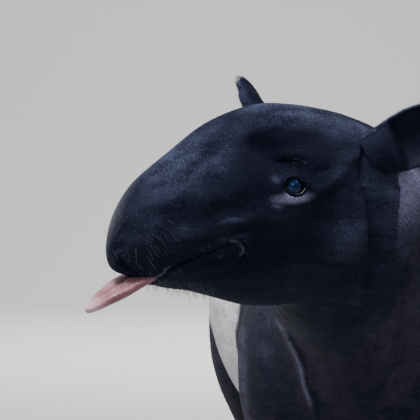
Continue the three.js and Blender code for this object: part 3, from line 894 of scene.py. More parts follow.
def tube_faces(rings, sides):
    """Triangles between rings that close round, and from the end rings to two poles. The poles
    are the last two points."""
    walls = walls_of(rings, sides)[:, [0, 3, 2, 0, 2, 1]].reshape(-1, 3)
    turn = np.arange(sides)
    after = (turn + 1) % sides
    first = np.full(sides, rings * sides)
    start = np.stack([first, after, turn], axis=1)
    last = (rings - 1) * sides
    end = np.stack([first + 1, last + turn, last + after], axis=1)
    return np.concatenate([walls, start, end])


def tube_mesh(rings):
    """Rings of points (rings, sides, 3) as one closed skin, with its faces turned outwards."""
    points = np.concatenate([rings.reshape(-1, 3), rings[0].mean(0)[None], rings[-1].mean(0)[None]])
    faces = tube_faces(*rings.shape[:2])
    a, b, c = (points[faces[:, k]] for k in range(3))
    volume = (a * np.cross(b, c)).sum() / 6
    if volume < 0:
        faces = faces[:, ::-1]
    return points, faces


def station_rings(part, stations, steps, sides):
    """Rings of a tube's stations: half width times the cosine to a power, rise times the sine."""
    rows = blended(stations, steps)[:, None, :]
    angle = np.linspace(0, 2 * np.pi, sides, endpoint=False)[None, :]
    cosine, sine = np.cos(angle), np.sin(angle)
    power = np.where(sine > 0, rows[..., 6], rows[..., 7])
    across = rows[..., 3] * np.sign(cosine) * np.abs(cosine) ** power + rows[..., 1]
    up = sine * np.where(sine > 0, rows[..., 4], rows[..., 5]) + rows[..., 2]
    along = np.broadcast_to(rows[..., 0], across.shape)
    return put(part, np.stack([along, across, up], axis=-1))

# %% [markdown]
# ## Markings
# The head, neck, shoulders and all four legs are black, and a pale saddle runs from behind the
# shoulders over the back, flanks and rump. Its edges waver by a finger's width. The markings are
# worked out from the place on the animal, so that the skin and every tuft of fur agree on them.
# Lighter zones on the face are painted highlights on the ridges over the bones and on the planes that
# face the light, and darker zones are painted shade in the hollows.

# %% Wavering
def wavering(points, length, seed):
    """Sum of six sines in fixed random directions: a soft noise from about -1 to 1."""
    draw = np.random.default_rng(seed)
    total = np.zeros(len(points))
    for octave in range(6):
        way = unit(draw.normal(size=3)) * 2 * np.pi / (length * 0.72**octave)
        total += np.sin(points @ way + draw.uniform(0, 2 * np.pi)) * 0.8**octave
    return total / 2.2


# %% Zones and markings
SADDLE_FRONT = -172
THIGH_FRONT = -575
THIGH_LINE = 625
THIGH_SLOPE = 0.45
THIGH_BEND = -660
EDGE_SOFT = 16

# The head seen from its side: share of painted light, middle, size, turn in degrees. A share above
# zero is a painted highlight on a lit top plane, ridge or bulge; a share below zero is painted shade
# in a hollow. The second list leaves out the middle line of the head.
HEAD_PAINTED_LIGHT = [
    (0.80, [95, 86], [90, 22], 2),
    (0.52, [300, 8], [56, 26], -46),
    (0.12, [250, 30], [40, 24], -36),
]
OUTER_PAINTED_LIGHT_AND_SHADE = [
    (0.30, [92, -4], [44, 9], -36),
    (0.52, [48, -80], [30, 34], 0),
    (0.35, [228, -62], [26, 6], -8),
    (0.25, [310, -95], [40, 22], -25),
    (0.50, [0, 72], [16, 12], 0),
    (-0.50, [158, 24], [56, 32], 24),
    (-0.28, [112, 52], [40, 20], -12),
    (-0.20, [112, -14], [30, 26], 0),
    (-0.20, [200, -110], [110, 30], -14),
]
LEFT_EAR_DUST = [(0.70, [-40, -10], [36, 60], 10)]

# The breast seen from the front: line in side and height, half width, share of light hairs; the strips
# are mostly painted highlights along the edges of the breast's folds
BREAST_DUST_AND_PAINTED_LIGHT = [
    ([[-184, 756], [-175, 742], [-152, 695], [-142, 655], [-128, 618]], 4, 0.8),
    ([[-224, 795], [-214, 747], [-205, 700]], 17, 0.30),
    ([[-60, 860], [0, 740], [30, 660], [40, 590]], 40, 0.10),
]
# Painted rim light along the shoulder's edge against the flank
SHOULDER_RIM_LIGHT = [[-242, 730], [-240, 694], [-239, 638], [-234, 581], [-226, 530]]
# The head seen from its side: pale margin of the upper lip, and the folded corner of the mouth
LIP_MARGIN = [[334, -152], [325, -150.5], [316, -145], [311, -138], [308, -131]]
MOUTH_CORNER = [[226, -92], [214, -94], [209, -101], [208, -112]]


def zones(points):
    """How far each point belongs to the head, the neck and the legs, from 0 to 1."""
    head_place = seen(HEAD, points)
    neck_place = seen(NECK, points)
    head = ramp(head_place[:, 0], -70, 0) * ramp(head_place[:, 2], -330, -260)
    head = head * ramp(-np.abs(head_place[:, 1]), -230, -180)
    neck = ramp(neck_place[:, 0], 40, 190) * (1 - head)
    leg = ramp(-points[:, 2], -520, -430) * (np.abs(points[:, 1]) > 60)
    return head, neck, leg


def saddle_of(points):
    """Share of the pale saddle: behind a wavering line, and above the line of the thighs."""
    x, y, z = points.T
    edge = SADDLE_FRONT - x - 16 * wavering(points, 170, 3) - 0.1 * (z - 700)
    saddle = ramp(edge, -14, 14)
    line = THIGH_LINE + THIGH_SLOPE * np.clip(THIGH_FRONT - x, 0, 380) - np.clip(x - THIGH_BEND, 0, None)
    thigh = ramp(line + 12 * wavering(points, 320, 5) - z, -EDGE_SOFT, EDGE_SOFT) * ramp(-x, 560, 600)
    thigh = thigh * np.maximum(ramp(np.abs(y), 45, 75), ramp(-x, 820, 900))
    tail = ramp(-x, 1046, 1058) * ramp(z, 780, 800)
    return saddle * (1 - thigh) * (1 - tail)


def patches(table, along, up):
    """Sum of soft ovals in the head's side view, each times its share."""
    return sum(share * patch(along, up, middle, size, turn) for share, middle, size, turn in table)


def dust_and_painted_light_of(points, head, neck):
    """Share of light hair tips a little everywhere, plus painted light: highlights on the lit parts of
    the face, the breast's folds, the shoulder's edge and the neck, and painted shade in the face's
    hollows.
    """
    x, y, z = points.T
    along, side, up = seen(HEAD, points).T
    dust = 0.12 + 0.16 * np.clip(wavering(points, 90, 7), 0, 1) + 0.09 * neck
    dust += head * patches(HEAD_PAINTED_LIGHT, along, up)
    dust += head * ramp(np.abs(side), 20, 45) * patches(OUTER_PAINTED_LIGHT_AND_SHADE, along, up)
    dust += head * ramp(side, 20, 60) * patches(LEFT_EAR_DUST, along, up)
    front = ramp(x, 60, 140) * (1 - head)
    for line, width, share in BREAST_DUST_AND_PAINTED_LIGHT:
        dust += front * share * ridge(line, width, y, z)[0]
    # Painted rim light along the shoulder's edge
    dust += 0.7 * ridge(SHOULDER_RIM_LIGHT, 6, y, z)[0] * ramp(x, -30, 0) * ramp(-x, -95, -70)
    # Painted light on the neck below the ear
    under_ear_light = np.hypot((y + 30) / 60, (z - 985) / 55)
    return dust + 0.85 * ramp(-under_ear_light, -1, 0) * ramp(x, 300, 400) * (1 - head)


def bare_and_lit_skin_of(points, head):
    """Share of bare skin at the rims of the mouth, and bare skin colour as painted light: a painted
    highlight along the breast's sharpest fold and painted lilac light on the nape's side.
    """
    x, y, z = points.T
    along, side, up = seen(HEAD, points).T
    # Painted highlight along the breast's sharpest fold, in bare skin colour
    fold = ridge(BREAST_DUST_AND_PAINTED_LIGHT[0][0], 2.6, y, z)[0] * ramp(x, 60, 140) * (1 - head)
    bare = 0.40 * fold * ramp(z, 600, 640) * ramp(-z, -760, -700)
    # Painted lilac light on the nape's side, in bare skin colour
    nape = ramp(x, 420, 480) * np.exp(-(((y + 22) / 44) ** 2 + ((z - 985) / 46) ** 2))
    bare = np.maximum(bare, 0.95 * nape * ramp(-along, -5, 15))
    here = head > 0.5
    along, side, up = along[here], np.abs(side[here]), up[here]
    margin = 0.6 * ramp(side, 6, 14) * ridge(LIP_MARGIN, 1.3, along, up)[0]
    corner = 0.3 * ramp(side, 20, 45) * ridge(MOUTH_CORNER, 1.8, along, up)[0]
    bare[here] = np.maximum(margin, corner)
    return bare


def markings(points):
    """Shares of pale saddle, light hair tips with painted light and shade, and bare skin at each
    point. Round each eye the skin is bare and pale below the lids, and the fur beside them is dark."""
    head, neck, leg = zones(points)
    dust = dust_and_painted_light_of(points, head, neck)
    bare = bare_and_lit_skin_of(points, head)
    for hand, eye in EYES.items():
        across, rise, out = seen(eye, points).T
        across = SIDES[hand] * across
        ring = np.hypot(across / 19, (rise - 1) / 15)
        below = np.hypot(across / 25, (rise + 16 - 0.1 * across) / 7.5)
        before = np.hypot((across + 19) / 9, (rise + 23) / 8)
        spot = np.hypot((across + 25) / 6, (rise - 9) / 6)
        pale = np.maximum(ramp(-below, -1.5, -0.4), 0.26 * ramp(-before, -1.5, -0.3))
        pale = np.maximum(pale, 0.07 * ramp(-spot, -1.5, -0.3))
        bare = np.maximum(bare, pale * (out > -15) * (np.abs(across) < 60))
        dust = dust * (1 - 0.8 * ramp(-ring, -1.5, -1.1) * (out > -15) * (1 - pale))
    dust = dust.clip(0, 1)
    return {"saddle": saddle_of(points), "dust": dust, "bare": bare, "head": head, "leg": leg}


# %% [markdown]
# ## Finishes
# A finish that many pieces share is a node group: it takes numbers such as the share of saddle and
# gives back a colour, a roughness and a height. The shader stays in each material. Fur lies along
# the head, along the trunk and down the legs, so its grain is the same stretched noise, turned
# three ways and mixed by where the point is.

# %% Node helpers
def new_group(name, inputs, outputs):
    """A node group with named sockets; returns its tree and its input and output nodes."""
    tree = bpy.data.node_groups.new(name, "ShaderNodeTree")
    for label, value in inputs.items():
        socket = tree.interface.new_socket(label, in_out="INPUT", socket_type="NodeSocketFloat")
        socket.default_value = value
    for label, kind in outputs.items():
        tree.interface.new_socket(label, in_out="OUTPUT", socket_type="NodeSocket" + kind)
    return tree, tree.nodes.new("NodeGroupInput"), tree.nodes.new("NodeGroupOutput")


def feed(tree, socket, value):
    """Links a socket to another one, or sets its value."""
    if isinstance(value, bpy.types.NodeSocket):
        tree.links.new(value, socket)
    else:
        socket.default_value = value


def node(tree, kind, settings=None, **inputs):
    """A new node with its settings and inputs; an input is named, or numbered as in_0."""
    made = tree.nodes.new("ShaderNode" + kind)
    for key, value in (settings or {}).items():
        setattr(made, key, value)
    for key, value in inputs.items():
        feed(tree, made.inputs[int(key[3:]) if key.startswith("in_") else key], value)
    return made


def math_node(tree, operation, one, two=0.0, clamp=False):
    """One sum; returns its output."""
    return node(tree, "Math", {"operation": operation, "use_clamp": clamp}, in_0=one, in_1=two).outputs[0]


def mixed(tree, share, one, two, blend="MIX"):
    """Two colours mixed by a share; returns the colour."""
    made = node(tree, "Mix", {"data_type": "RGBA", "blend_type": blend})
    feed(tree, made.inputs[0], share)
    feed(tree, made.inputs[6], one)
    feed(tree, made.inputs[7], two)
    return made.outputs[2]


def noise(tree, vector, scale, detail=2.0, rough=0.5):
    """Noise from 0 to 1 at a scale per metre; returns its value."""
    made = node(tree, "TexNoise", None, Vector=vector, Scale=scale, Detail=detail, Roughness=rough)
    return made.outputs["Fac"]


def ranged(tree, value, low, high, to_low=0.0, to_high=1.0):
    """A stretch of numbers moved to another stretch, held at its ends; returns the value."""
    made = node(tree, "MapRange", None, in_0=value, in_1=low, in_2=high, in_3=to_low, in_4=to_high)
    return made.outputs[0]


def named(tree, name):
    """The value of the piece's own attribute."""
    return node(tree, "Attribute", {"attribute_name": name}).outputs["Fac"]


def object_place(tree):
    """The point on the object, in metres."""
    return node(tree, "TexCoord").outputs["Object"]


def bumped(tree, shader, height, distance, strength):
    """A bump on the shader's normal, whose full height is a distance in metres."""
    made = node(tree, "Bump", None, Height=height, Distance=distance, Strength=strength)
    tree.links.new(made.outputs["Normal"], shader.inputs["Normal"])


def settle(shader, values):
    """Constants on the shader's own sockets."""
    for label, value in values.items():
        shader.inputs[label].default_value = value


# %% Fur grain group
FUR_SCALE = 420.0
FUR_STRETCH = 6.0


def make_fur_grain():
    """Noise drawn out along the lie of the coat: along the trunk, along the head, down the legs."""
    outputs = {"Height": "Float", "Streak": "Float"}
    tree, start, end = new_group("fur_grain", {"Head": 0.0, "Leg": 0.0}, outputs)
    place = object_place(tree)
    grains, streaks = [], []
    for turn in ((0, 0, 0), (0, 0, -HEAD_YAW), (0, math.pi / 2, 0)):
        combed = node(tree, "Mapping", {"vector_type": "TEXTURE"}, Vector=place)
        combed.inputs["Rotation"].default_value = turn
        combed.inputs["Scale"].default_value = (FUR_STRETCH, 1, 1)
        grains.append(noise(tree, combed.outputs[0], FUR_SCALE, 3.0, 0.6))
        streaks.append(noise(tree, combed.outputs[0], FUR_SCALE / 9, 3.0, 0.55))
    heads, legs = start.outputs["Head"], start.outputs["Leg"]
    for label, values in (("Height", grains), ("Streak", streaks)):
        both = node(tree, "Mix", None, in_0=heads, in_2=values[0], in_3=values[1]).outputs[0]
        every = node(tree, "Mix", None, in_0=legs, in_2=both, in_3=values[2]).outputs[0]
        tree.links.new(every, end.inputs[label])
    return tree


# %% Coat colour group
BLACK = (0.0030, 0.0034, 0.0090, 1)
# Colours of light hair tips and of painted highlights, tinted blue as a painted reflection of the sky
HEAD_DUST_AND_SHEEN = (0.066, 0.076, 0.136, 1)
BODY_DUST_AND_SHEEN = (0.078, 0.068, 0.124, 1)
PALE = (0.55, 0.53, 0.54, 1)
PALE_SHADE = (0.35, 0.335, 0.35, 1)
SKIN_DARK = (0.024, 0.022, 0.032, 1)
SKIN_LILAC = (0.225, 0.215, 0.35, 1)
SPECULAR_TINT = (0.50, 0.60, 1.0, 1)
DULL = {"Specular IOR Level": 0.08, "Specular Tint": SPECULAR_TINT}


def make_coat_colour():
    """Black and pale fur mixed by the saddle's share, lightened by light hair tips, painted highlights
    and glints, and streaks, and bare skin.
    """
    inputs = {"Saddle": 0.0, "Dust": 0.0, "Bare": 0.0, "Streak": 0.5, "Head": 0.0}
    outputs = {"Color": "Color", "Roughness": "Float"}
    tree, start, end = new_group("coat_colour", inputs, outputs)
    place = object_place(tree)
    blotch = noise(tree, place, 26.0, 4.0, 0.6)
    speck = noise(tree, place, 430.0, 2.0, 0.7)
    saddle, dust, bare, streak, head = (start.outputs[label] for label in inputs)
    rubbed = ranged(tree, blotch, 0.3, 0.7, 0.3, 1.0)
    # Light hair tips together with painted highlights, by the share of dust and painted light
    worn = math_node(tree, "MULTIPLY", ranged(tree, streak, 0.35, 0.75), rubbed)
    worn = math_node(tree, "MULTIPLY", worn, dust, True)
    # Painted glints: fine speckled highlights where the painted light is
    painted_glint = math_node(tree, "MULTIPLY", ranged(tree, speck, 0.48, 0.7, 0.0, 0.75), dust)
    worn = math_node(tree, "ADD", worn, painted_glint, True)
    light = mixed(tree, head, BODY_DUST_AND_SHEEN, HEAD_DUST_AND_SHEEN)
    black = mixed(tree, worn, BLACK, light)
    pale = mixed(tree, ranged(tree, streak, 0.3, 0.65), PALE_SHADE, PALE)
    pale = mixed(tree, ranged(tree, blotch, 0.35, 0.8, 0.0, 0.35), pale, PALE_SHADE)
    coat = mixed(tree, saddle, black, pale)
    skin = mixed(tree, ranged(tree, speck, 0.2, 0.62), SKIN_DARK, SKIN_LILAC)
    tree.links.new(mixed(tree, bare, coat, skin), end.inputs["Color"])
    rough = ranged(tree, bare, 0.0, 1.0, 0.62, 0.5)
    rough = math_node(tree, "ADD", rough, ranged(tree, blotch, 0.3, 0.7, -0.05, 0.08))
    tree.links.new(rough, end.inputs["Roughness"])
    return tree


FUR_GRAIN = make_fur_grain()
COAT_COLOUR = make_coat_colour()


def new_material(name):
    """An empty material; returns it, its tree and its shader."""
    material = bpy.data.materials.new(name)
    material.use_nodes = True
    tree = material.node_tree
    return material, tree, tree.nodes["Principled BSDF"]


def placed(tree, group, **inputs):
    """A group node with its inputs fed."""
    made = tree.nodes.new("ShaderNodeGroup")
    made.node_tree = group
    for key, value in inputs.items():
        feed(tree, made.inputs[key], value)
    return made


# %% Coat material
def make_coat_material():
    """Fur over skin: colour by the markings, and a fine combed bump."""
    material, tree, shader = new_material("skin_and_fur")
    grain = placed(tree, FUR_GRAIN, Head=named(tree, "head"), Leg=named(tree, "leg"))
    colour = placed(
        tree, COAT_COLOUR, Saddle=named(tree, "saddle"), Dust=named(tree, "dust"),
        Bare=named(tree, "bare"), Streak=grain.outputs["Streak"], Head=named(tree, "head"),
    )
    feed(tree, shader.inputs["Base Color"], colour.outputs["Color"])
    feed(tree, shader.inputs["Roughness"], colour.outputs["Roughness"])
    bumped(tree, shader, grain.outputs["Height"], 0.001, 0.8)
    settle(shader, DULL)
    return material


SKIN_MATERIAL = make_coat_material()

# %% Skin
FLESH_NODES = [
    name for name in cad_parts
    if name.startswith(("leg_", "foot_", "torso_", "neck", "head", "proboscis", "lower_jaw", "tail"))
]
skin_marks = markings(skin_points)
skin = new_piece("skin", skin_points, skin_faces, SKIN_MATERIAL, FLESH_NODES)
for mark, values in skin_marks.items():
    attribute(skin, mark, values)
print("skin stands for", len(FLESH_NODES), "nodes")

# %% [markdown]
# ## Eyes
# A tapir's eye is small, dark and very wet: an iris that can hardly be told from the pupil, both
# with a blue haze, and a clear bulge over them that catches the sky. The ball is a profile turned
# about the line of sight, and the clear coat of the shader stands for the film of tears.

# %% Eyeballs
CORNEA = {"angle": 40.0, "bulge": 1.1}
PUPIL_ANGLE = 15.0
IRIS_ANGLE = 34.0
PUPIL_COLOUR = (0.002, 0.009, 0.030, 1)
IRIS_COLOURS = [(0.002, 0.010, 0.034, 1), (0.003, 0.024, 0.076, 1)]
RING_COLOUR = (0.004, 0.003, 0.003, 1)
WHITE_COLOURS = [(0.010, 0.008, 0.009, 1), (0.030, 0.025, 0.028, 1)]


def make_eye_material():
    """Pupil, fibrous iris, dark ring and dark white of the eye, by the angle from the look."""
    material, tree, shader = new_material("eye")
    angle = named(tree, "angle")
    turn = node(tree, "CombineXYZ", None, X=named(tree, "turn_x"), Y=named(tree, "turn_y"))
    fibre = noise(tree, turn.outputs[0], 14.0, 3.0, 0.7)
    iris = mixed(tree, ranged(tree, fibre, 0.35, 0.65), *IRIS_COLOURS)
    in_iris = ranged(tree, angle, PUPIL_ANGLE - 1.5, PUPIL_ANGLE + 1.5)
    colour = mixed(tree, in_iris, PUPIL_COLOUR, iris)
    colour = mixed(tree, ranged(tree, angle, IRIS_ANGLE - 4, IRIS_ANGLE), colour, RING_COLOUR)
    white = mixed(tree, ranged(tree, fibre, 0.3, 0.7), *WHITE_COLOURS)
    colour = mixed(tree, ranged(tree, angle, IRIS_ANGLE + 3, IRIS_ANGLE + 12), colour, white)
    feed(tree, shader.inputs["Base Color"], colour)
    settle(shader, {
        "Roughness": 0.12, "Coat Weight": 1.0, "Coat Roughness": 0.03, "Coat IOR": 1.28,
        "Specular IOR Level": 0.0,
    })
    return material


EYE_MATERIAL = make_eye_material()


def eyeball(side):
    """Radius times sine and cosine of the angle from the look, with a bulge of cosine shape."""
    angle = np.radians(np.linspace(2, 178, 60))[:, None]
    turn = np.linspace(0, 2 * np.pi, 64, endpoint=False)[None, :]
    bulge = CORNEA["bulge"] * ramp(-np.degrees(angle), -CORNEA["angle"], 0)
    radius = EYE_RADIUS - CORNEA["bulge"] + bulge
    across = radius * np.sin(angle) * np.cos(turn)
    up = radius * np.sin(angle) * np.sin(turn)
    out = np.broadcast_to(radius * np.cos(angle), across.shape)
    points, faces = tube_mesh(put(EYES[side], np.stack([across, up, out], axis=-1)))
    ball = new_piece("eyeball_" + side, points, faces, EYE_MATERIAL, ["eye_" + side])
    across, up, out = seen(EYES[side], points).T
    reach = np.hypot(across, up)
    attribute(ball, "angle", np.degrees(np.arctan2(reach, out)))
    attribute(ball, "turn_x", across / reach.clip(0.1))
    attribute(ball, "turn_y", up / reach.clip(0.1))


for side in SIDES:
    eyeball(side)

# %% [markdown]
# ## Eyelids
# The opening is an almond that the ball fills. The upper lid is thick, dark and overhangs the ball,
# and the lower one is thin, with a wet rim that is pale only at its rear end. Both lids are one ring
# of profiles: round over the margin, then out over the mound of the skin until they sink under it,
# so no edge shows. To lie on the skin, the ring first asks the field how far out the skin is at
# each of its places.

# %% Lids
LID_EDGE = {"across": 15.2, "upper": 11.2, "lower": 9.6}
LID_WIDTH = 11.0
LID_COLOURS = [(0.002, 0.0025, 0.006, 1), (0.007, 0.008, 0.017, 1)]
RIM_COLOUR = (0.21, 0.185, 0.17, 1)


def skin_out(part, across, up, probe):
    """How far out along a part's axis the skin lies: the last sign change on a row of samples."""
    out = np.linspace(30, -12, 85)
    places = np.stack(np.broadcast_arrays(across[..., None], up[..., None], out), axis=-1)
    values = probe(put(part, places.reshape(-1, 3))).reshape(places.shape[:-1])
    first = (values < 0).argmax(axis=-1)
    rows = np.arange(first.size)
    values = values.reshape(first.size, -1)
    first = first.ravel().clip(1)
    before, after = values[rows, first - 1], values[rows, first]
    share = before / (before - after)
    return (out[first - 1] + share * (out[first] - out[first - 1])).reshape(across.shape)


def lids(side):
    """Rings round the opening: margin bead first, then outwards over the mound, with fine creases."""
    part = EYES[side]
    turn = np.linspace(0, 2 * np.pi, 96, endpoint=False)[None, :]
    rise = np.where(np.sin(turn) > 0, LID_EDGE["upper"], LID_EDGE["lower"])
    rear = SIDES[side] * np.cos(turn)
    edge_x = LID_EDGE["across"] * np.cos(turn)
    edge_y = rise * np.sign(np.sin(turn)) * np.abs(np.sin(turn)) ** 1.12 - 1.8 * rear
    edge = np.hypot(edge_x, edge_y)
    way_x, way_y = edge_x / edge, edge_y / edge
    upper = ramp(np.sin(turn), -0.15, 0.35)
    thick = 1.5 + 1.5 * upper
    bend = np.radians(np.linspace(-120, 75, 9))[:, None]
    bead_out = thick / 2 * (1 + np.sin(bend))
    bead_in = edge + 0.55 * thick * (1 - np.cos(bend))
    run = np.linspace(0.12, 1, 16)[:, None]
    radius = np.concatenate([bead_in, edge + 0.5 * thick + run * LID_WIDTH])
    across, up = radius * way_x, radius * way_y
    ball_out = np.sqrt(np.maximum((EYE_RADIUS + 0.2) ** 2 - radius**2, 0.1))
    ground = skin_out(part, across, up, lambda points: raised(points, flesh(points)))
    base = np.maximum(ball_out, ground - 1.0)
    sinking = thick * (1 - run) ** 0.7 * (1 - 0.15 * np.cos(run * 19)) + 0.5 - 2.0 * run
    over = np.concatenate([bead_out, sinking])
    crease = upper * 1.1 * np.exp(-(((radius - edge - 5.2) / 0.9) ** 2))
    crease = crease + (1 - upper) * 0.5 * np.cos((radius - edge) * 2.3) * (radius > edge + 2)
    out = base + over - crease
    rings = put(part, np.stack([across, up, out], axis=-1))
    points = rings.reshape(-1, 3)
    faces = walls_of(*rings.shape[:2])
    first, ahead, beside = (points[faces[:, k]] for k in (0, 1, 3))
    normal = np.cross(ahead - first, beside - first)
    if (normal @ part[1][2])[-rings.shape[1] * 6:].sum() < 0:
        faces = faces[:, ::-1]
    lid = new_piece("eyelids_" + side, points, faces, LID_MATERIAL)
    margin = np.concatenate([ramp(bend, -1.2, -0.5) * ramp(-bend, -1.25, -0.8), 0 * run])
    hind = ramp(rear, -0.15, 0.5) * ramp(-np.sin(turn), -0.2, 0.2)
    attribute(lid, "wet", (margin * np.clip(0.12 * (1 - upper) + hind, 0, 1)).ravel())
    apart = np.concatenate([0 * bend, ramp(run, 0.25, 0.6)])
    attribute(lid, "under", (apart * ramp(-np.sin(turn), 0.1, 0.6)).ravel())


def make_lid_material():
    """Dark creased skin, lighter under the eye, with a wet margin that is pale where it is wettest."""
    material, tree, shader = new_material("eyelid")
    place = object_place(tree)
    pore = noise(tree, place, 900.0, 3.0, 0.6)
    wrinkle = noise(tree, place, 240.0, 3.0, 0.6)
    skin = mixed(tree, ranged(tree, wrinkle, 0.35, 0.7), *LID_COLOURS)
    under = mixed(tree, ranged(tree, wrinkle, 0.3, 0.7), SKIN_DARK, SKIN_LILAC)
    skin = mixed(tree, named(tree, "under"), skin, under)
    wet = named(tree, "wet")
    feed(tree, shader.inputs["Base Color"], mixed(tree, wet, skin, RIM_COLOUR))
    feed(tree, shader.inputs["Roughness"], ranged(tree, wet, 0.0, 1.0, 0.75, 0.35))
    settle(shader, DULL)
    height = math_node(tree, "ADD", math_node(tree, "MULTIPLY", pore, 0.35), wrinkle)
    bumped(tree, shader, height, 0.0012, 0.6)
    return material


LID_MATERIAL = make_lid_material()
for side in SIDES:
    lids(side)

# %% [markdown]
# ## Ears
# An ear is an oval leaf bent into a cup, with a thin rim that is tipped with white. Its outer and
# inner walls are two arcs at each station, joined round the rim, so the ear is one closed skin. Its
# root lies inside a stump that belongs to the body's skin, and the two cross at a shallow angle.

# %% Ear pinnae
EAR_WALL = 3.4
EAR_ARC = 24


def ear_rings(side):
    """Outer arc (half width times sine, minus back times cosine), inner arc a wall's depth inside."""
    rows = blended(ear_stations, 12)
    share, half, back, cup = rows.T[:, :, None]
    angle = np.radians(np.linspace(-90, 90, EAR_ARC))[None, :]
    sine, cosine = np.sin(angle), np.cos(angle)
    across = np.concatenate([half * sine, (half - EAR_WALL) * sine[:, ::-1]], axis=1)
    depth = np.concatenate([-back * cosine, EAR_WALL * 0.8 - cup * cosine[:, ::-1]], axis=1)
    depth = depth + 0.8 * np.sin(share * 21 + across / 7) * ramp(share, 0.2, 0.5)
    along = np.broadcast_to(share * EAR_LENGTH, across.shape)
    inside = np.zeros(across.shape)
    inside[:, EAR_ARC:] = 1
    rim = np.tile(np.abs(sine), (len(rows), 2))
    rings = put(EARS[side], np.stack([along, across, depth], axis=-1))
    return rings, np.broadcast_to(share, across.shape), inside, rim


def with_poles(values):
    """Values on rings, with the means of the first and last ring for the two poles."""
    return np.concatenate([values.ravel(), [values[0].mean(), values[-1].mean()]])


def ear_marks(share, inside, rim):
    """White hair on the tip, light hair on the closed root and the rim, bare skin in the cup."""
    white = np.maximum(ramp(share, 0.9, 0.97), ramp(share, 0.8, 0.95) * ramp(rim, 0.93, 0.995))
    root = ramp(-share, -0.26, -0.16)
    dust = 0.06 + 0.6 * np.maximum((1 - inside) * ramp(rim, 0.8, 0.98), 0.7 * root)
    dust = dust * (1 - 0.8 * inside)
    bare = 0.03 * inside * (1 - root) * (1 - white)
    return {"saddle": white * 0.5, "dust": dust, "bare": bare, "head": 1 + 0 * share, "leg": 0 * share}


def ear(side):
    """One ear, with white fur on its tip and rim and bare dark skin in its cup."""
    rings, *places = ear_rings(side)
    points, faces = tube_mesh(rings)
    name = "ear_pinna_" + side
    pinna = new_piece(name, points, faces, SKIN_MATERIAL, ["ear_" + side])
    for mark, values in ear_marks(*places).items():
        attribute(pinna, mark, with_poles(values))
    return pinna, points, faces, [with_poles(values) for values in places]


EAR_SKINS = {side: ear(side) for side in SIDES}

# %% [markdown]
# ## Tongue
# The tongue hangs out under the nose: a flat leaf with a shallow furrow, thin rounded edges, and a
# velvet of small papillae. Its stations are those of the solid.

# %% Tongue surface
TONGUE_ROOT = [302, 0, -140]
TONGUE_PITCH = math.radians(23)
TONGUE = in_head(TONGUE_ROOT, [
    [math.cos(TONGUE_PITCH), 0, -math.sin(TONGUE_PITCH)],
    [0, 1, 0],
    [math.sin(TONGUE_PITCH), 0, math.cos(TONGUE_PITCH)],
])

tongue_stations = [
    [0, 0, 0, 24, 7, 8, 1, 1],
    [30, 0, 0, 26, 8, 12, 1, 1],
    [60, 0, -3, 24, 8, 13, 0.9, 1],
    [88, 0, -6, 18, 7, 11, 0.9, 1],
    [108, 0, -10, 10, 5.5, 7, 1, 1],
    [117, 0, -12, 4, 3.5, 3.5, 1, 1],
]


# Fresh, blotched, at the edge, on a papilla with a painted wet highlight, and painted shade of root,
# furrow and underside
PINKS = [
    (0.50, 0.29, 0.33, 1), (0.34, 0.17, 0.21, 1), (0.55, 0.36, 0.38, 1), (0.66, 0.50, 0.54, 1),
    (0.19, 0.060, 0.080, 1),
]


def make_tongue_material():
    """Mauve pink with paler edges, darker blotches, pale papillae lightened by a painted wet highlight,
    and painted shade at the root, in the furrow and underneath.
    """
    material, tree, shader = new_material("tongue")
    place = object_place(tree)
    blotch = noise(tree, place, 60.0, 4.0, 0.65)
    papilla = node(tree, "TexVoronoi", {"feature": "F1"}, Vector=place, Scale=330.0).outputs["Distance"]
    shares = [
        ranged(tree, blotch, 0.35, 0.7), math_node(tree, "MULTIPLY", named(tree, "edge"), 0.5),
        # Pale papillae, lightened further as a painted wet highlight
        ranged(tree, papilla, 0.36, 0.06, 0.0, 0.7), named(tree, "shaded"),
    ]
    colour = PINKS[0]
    for share, pink in zip(shares, PINKS[1:]):
        colour = mixed(tree, share, colour, pink)
    feed(tree, shader.inputs["Base Color"], colour)
    feed(tree, shader.inputs["Roughness"], ranged(tree, blotch, 0.3, 0.7, 0.28, 0.48))
    settle(shader, {
        "Subsurface Weight": 0.12, "Subsurface Radius": (0.006, 0.002, 0.0015),
        "Specular IOR Level": 0.2, "Coat Weight": 0.3, "Coat Roughness": 0.14,
    })
    bumped(tree, shader, ranged(tree, papilla, 0.0, 0.5, 1.0, 0.0), 0.0012, 0.9)
    return material


def tongue():
    """The stations' rings, with a furrow along the middle and a ripple along the edges."""
    rings = station_rings(TONGUE, tongue_stations, 14, 72)
    along, side, up = np.moveaxis(seen(TONGUE, rings.reshape(-1, 3)).reshape(rings.shape), -1, 0)
    across = side / np.abs(side).max(axis=1, keepdims=True)
    furrow = 2.6 * np.exp(-((across / 0.16) ** 2)) * ramp(along, 15, 40) * ramp(-along, -108, -80)
    edge = np.abs(across) ** 3
    ripple = 0.7 * edge * np.sin(along / 6.5 + 2 * across)
    cup = 2.2 * across**2 * ramp(along, 10, 60)
    up = up - np.where(up > 0, furrow, 0.35 * furrow) + ripple + cup - 1.0
    points, faces = tube_mesh(put(TONGUE, np.stack([along, side, up], axis=-1)))
    piece = new_piece("tongue_surface", points, faces, make_tongue_material(), ["tongue"])
    attribute(piece, "edge", with_poles(edge))
    mottled = 0.75 + 0.25 * wavering(points[:-2], 22, 9).reshape(along.shape)
    root = 0.85 * ramp(-along, -104, -60) * mottled
    deep = 0.5 * np.exp(-((across / 0.12) ** 2)) * (furrow > 0.3) * (up > 0)
    below = 0.90 * ramp(-up, -5.0, 1.0) * ramp(-along, -112, -84)
    attribute(piece, "shaded", with_poles(np.maximum(np.maximum(root, deep), below).clip(0, 1)))


tongue()

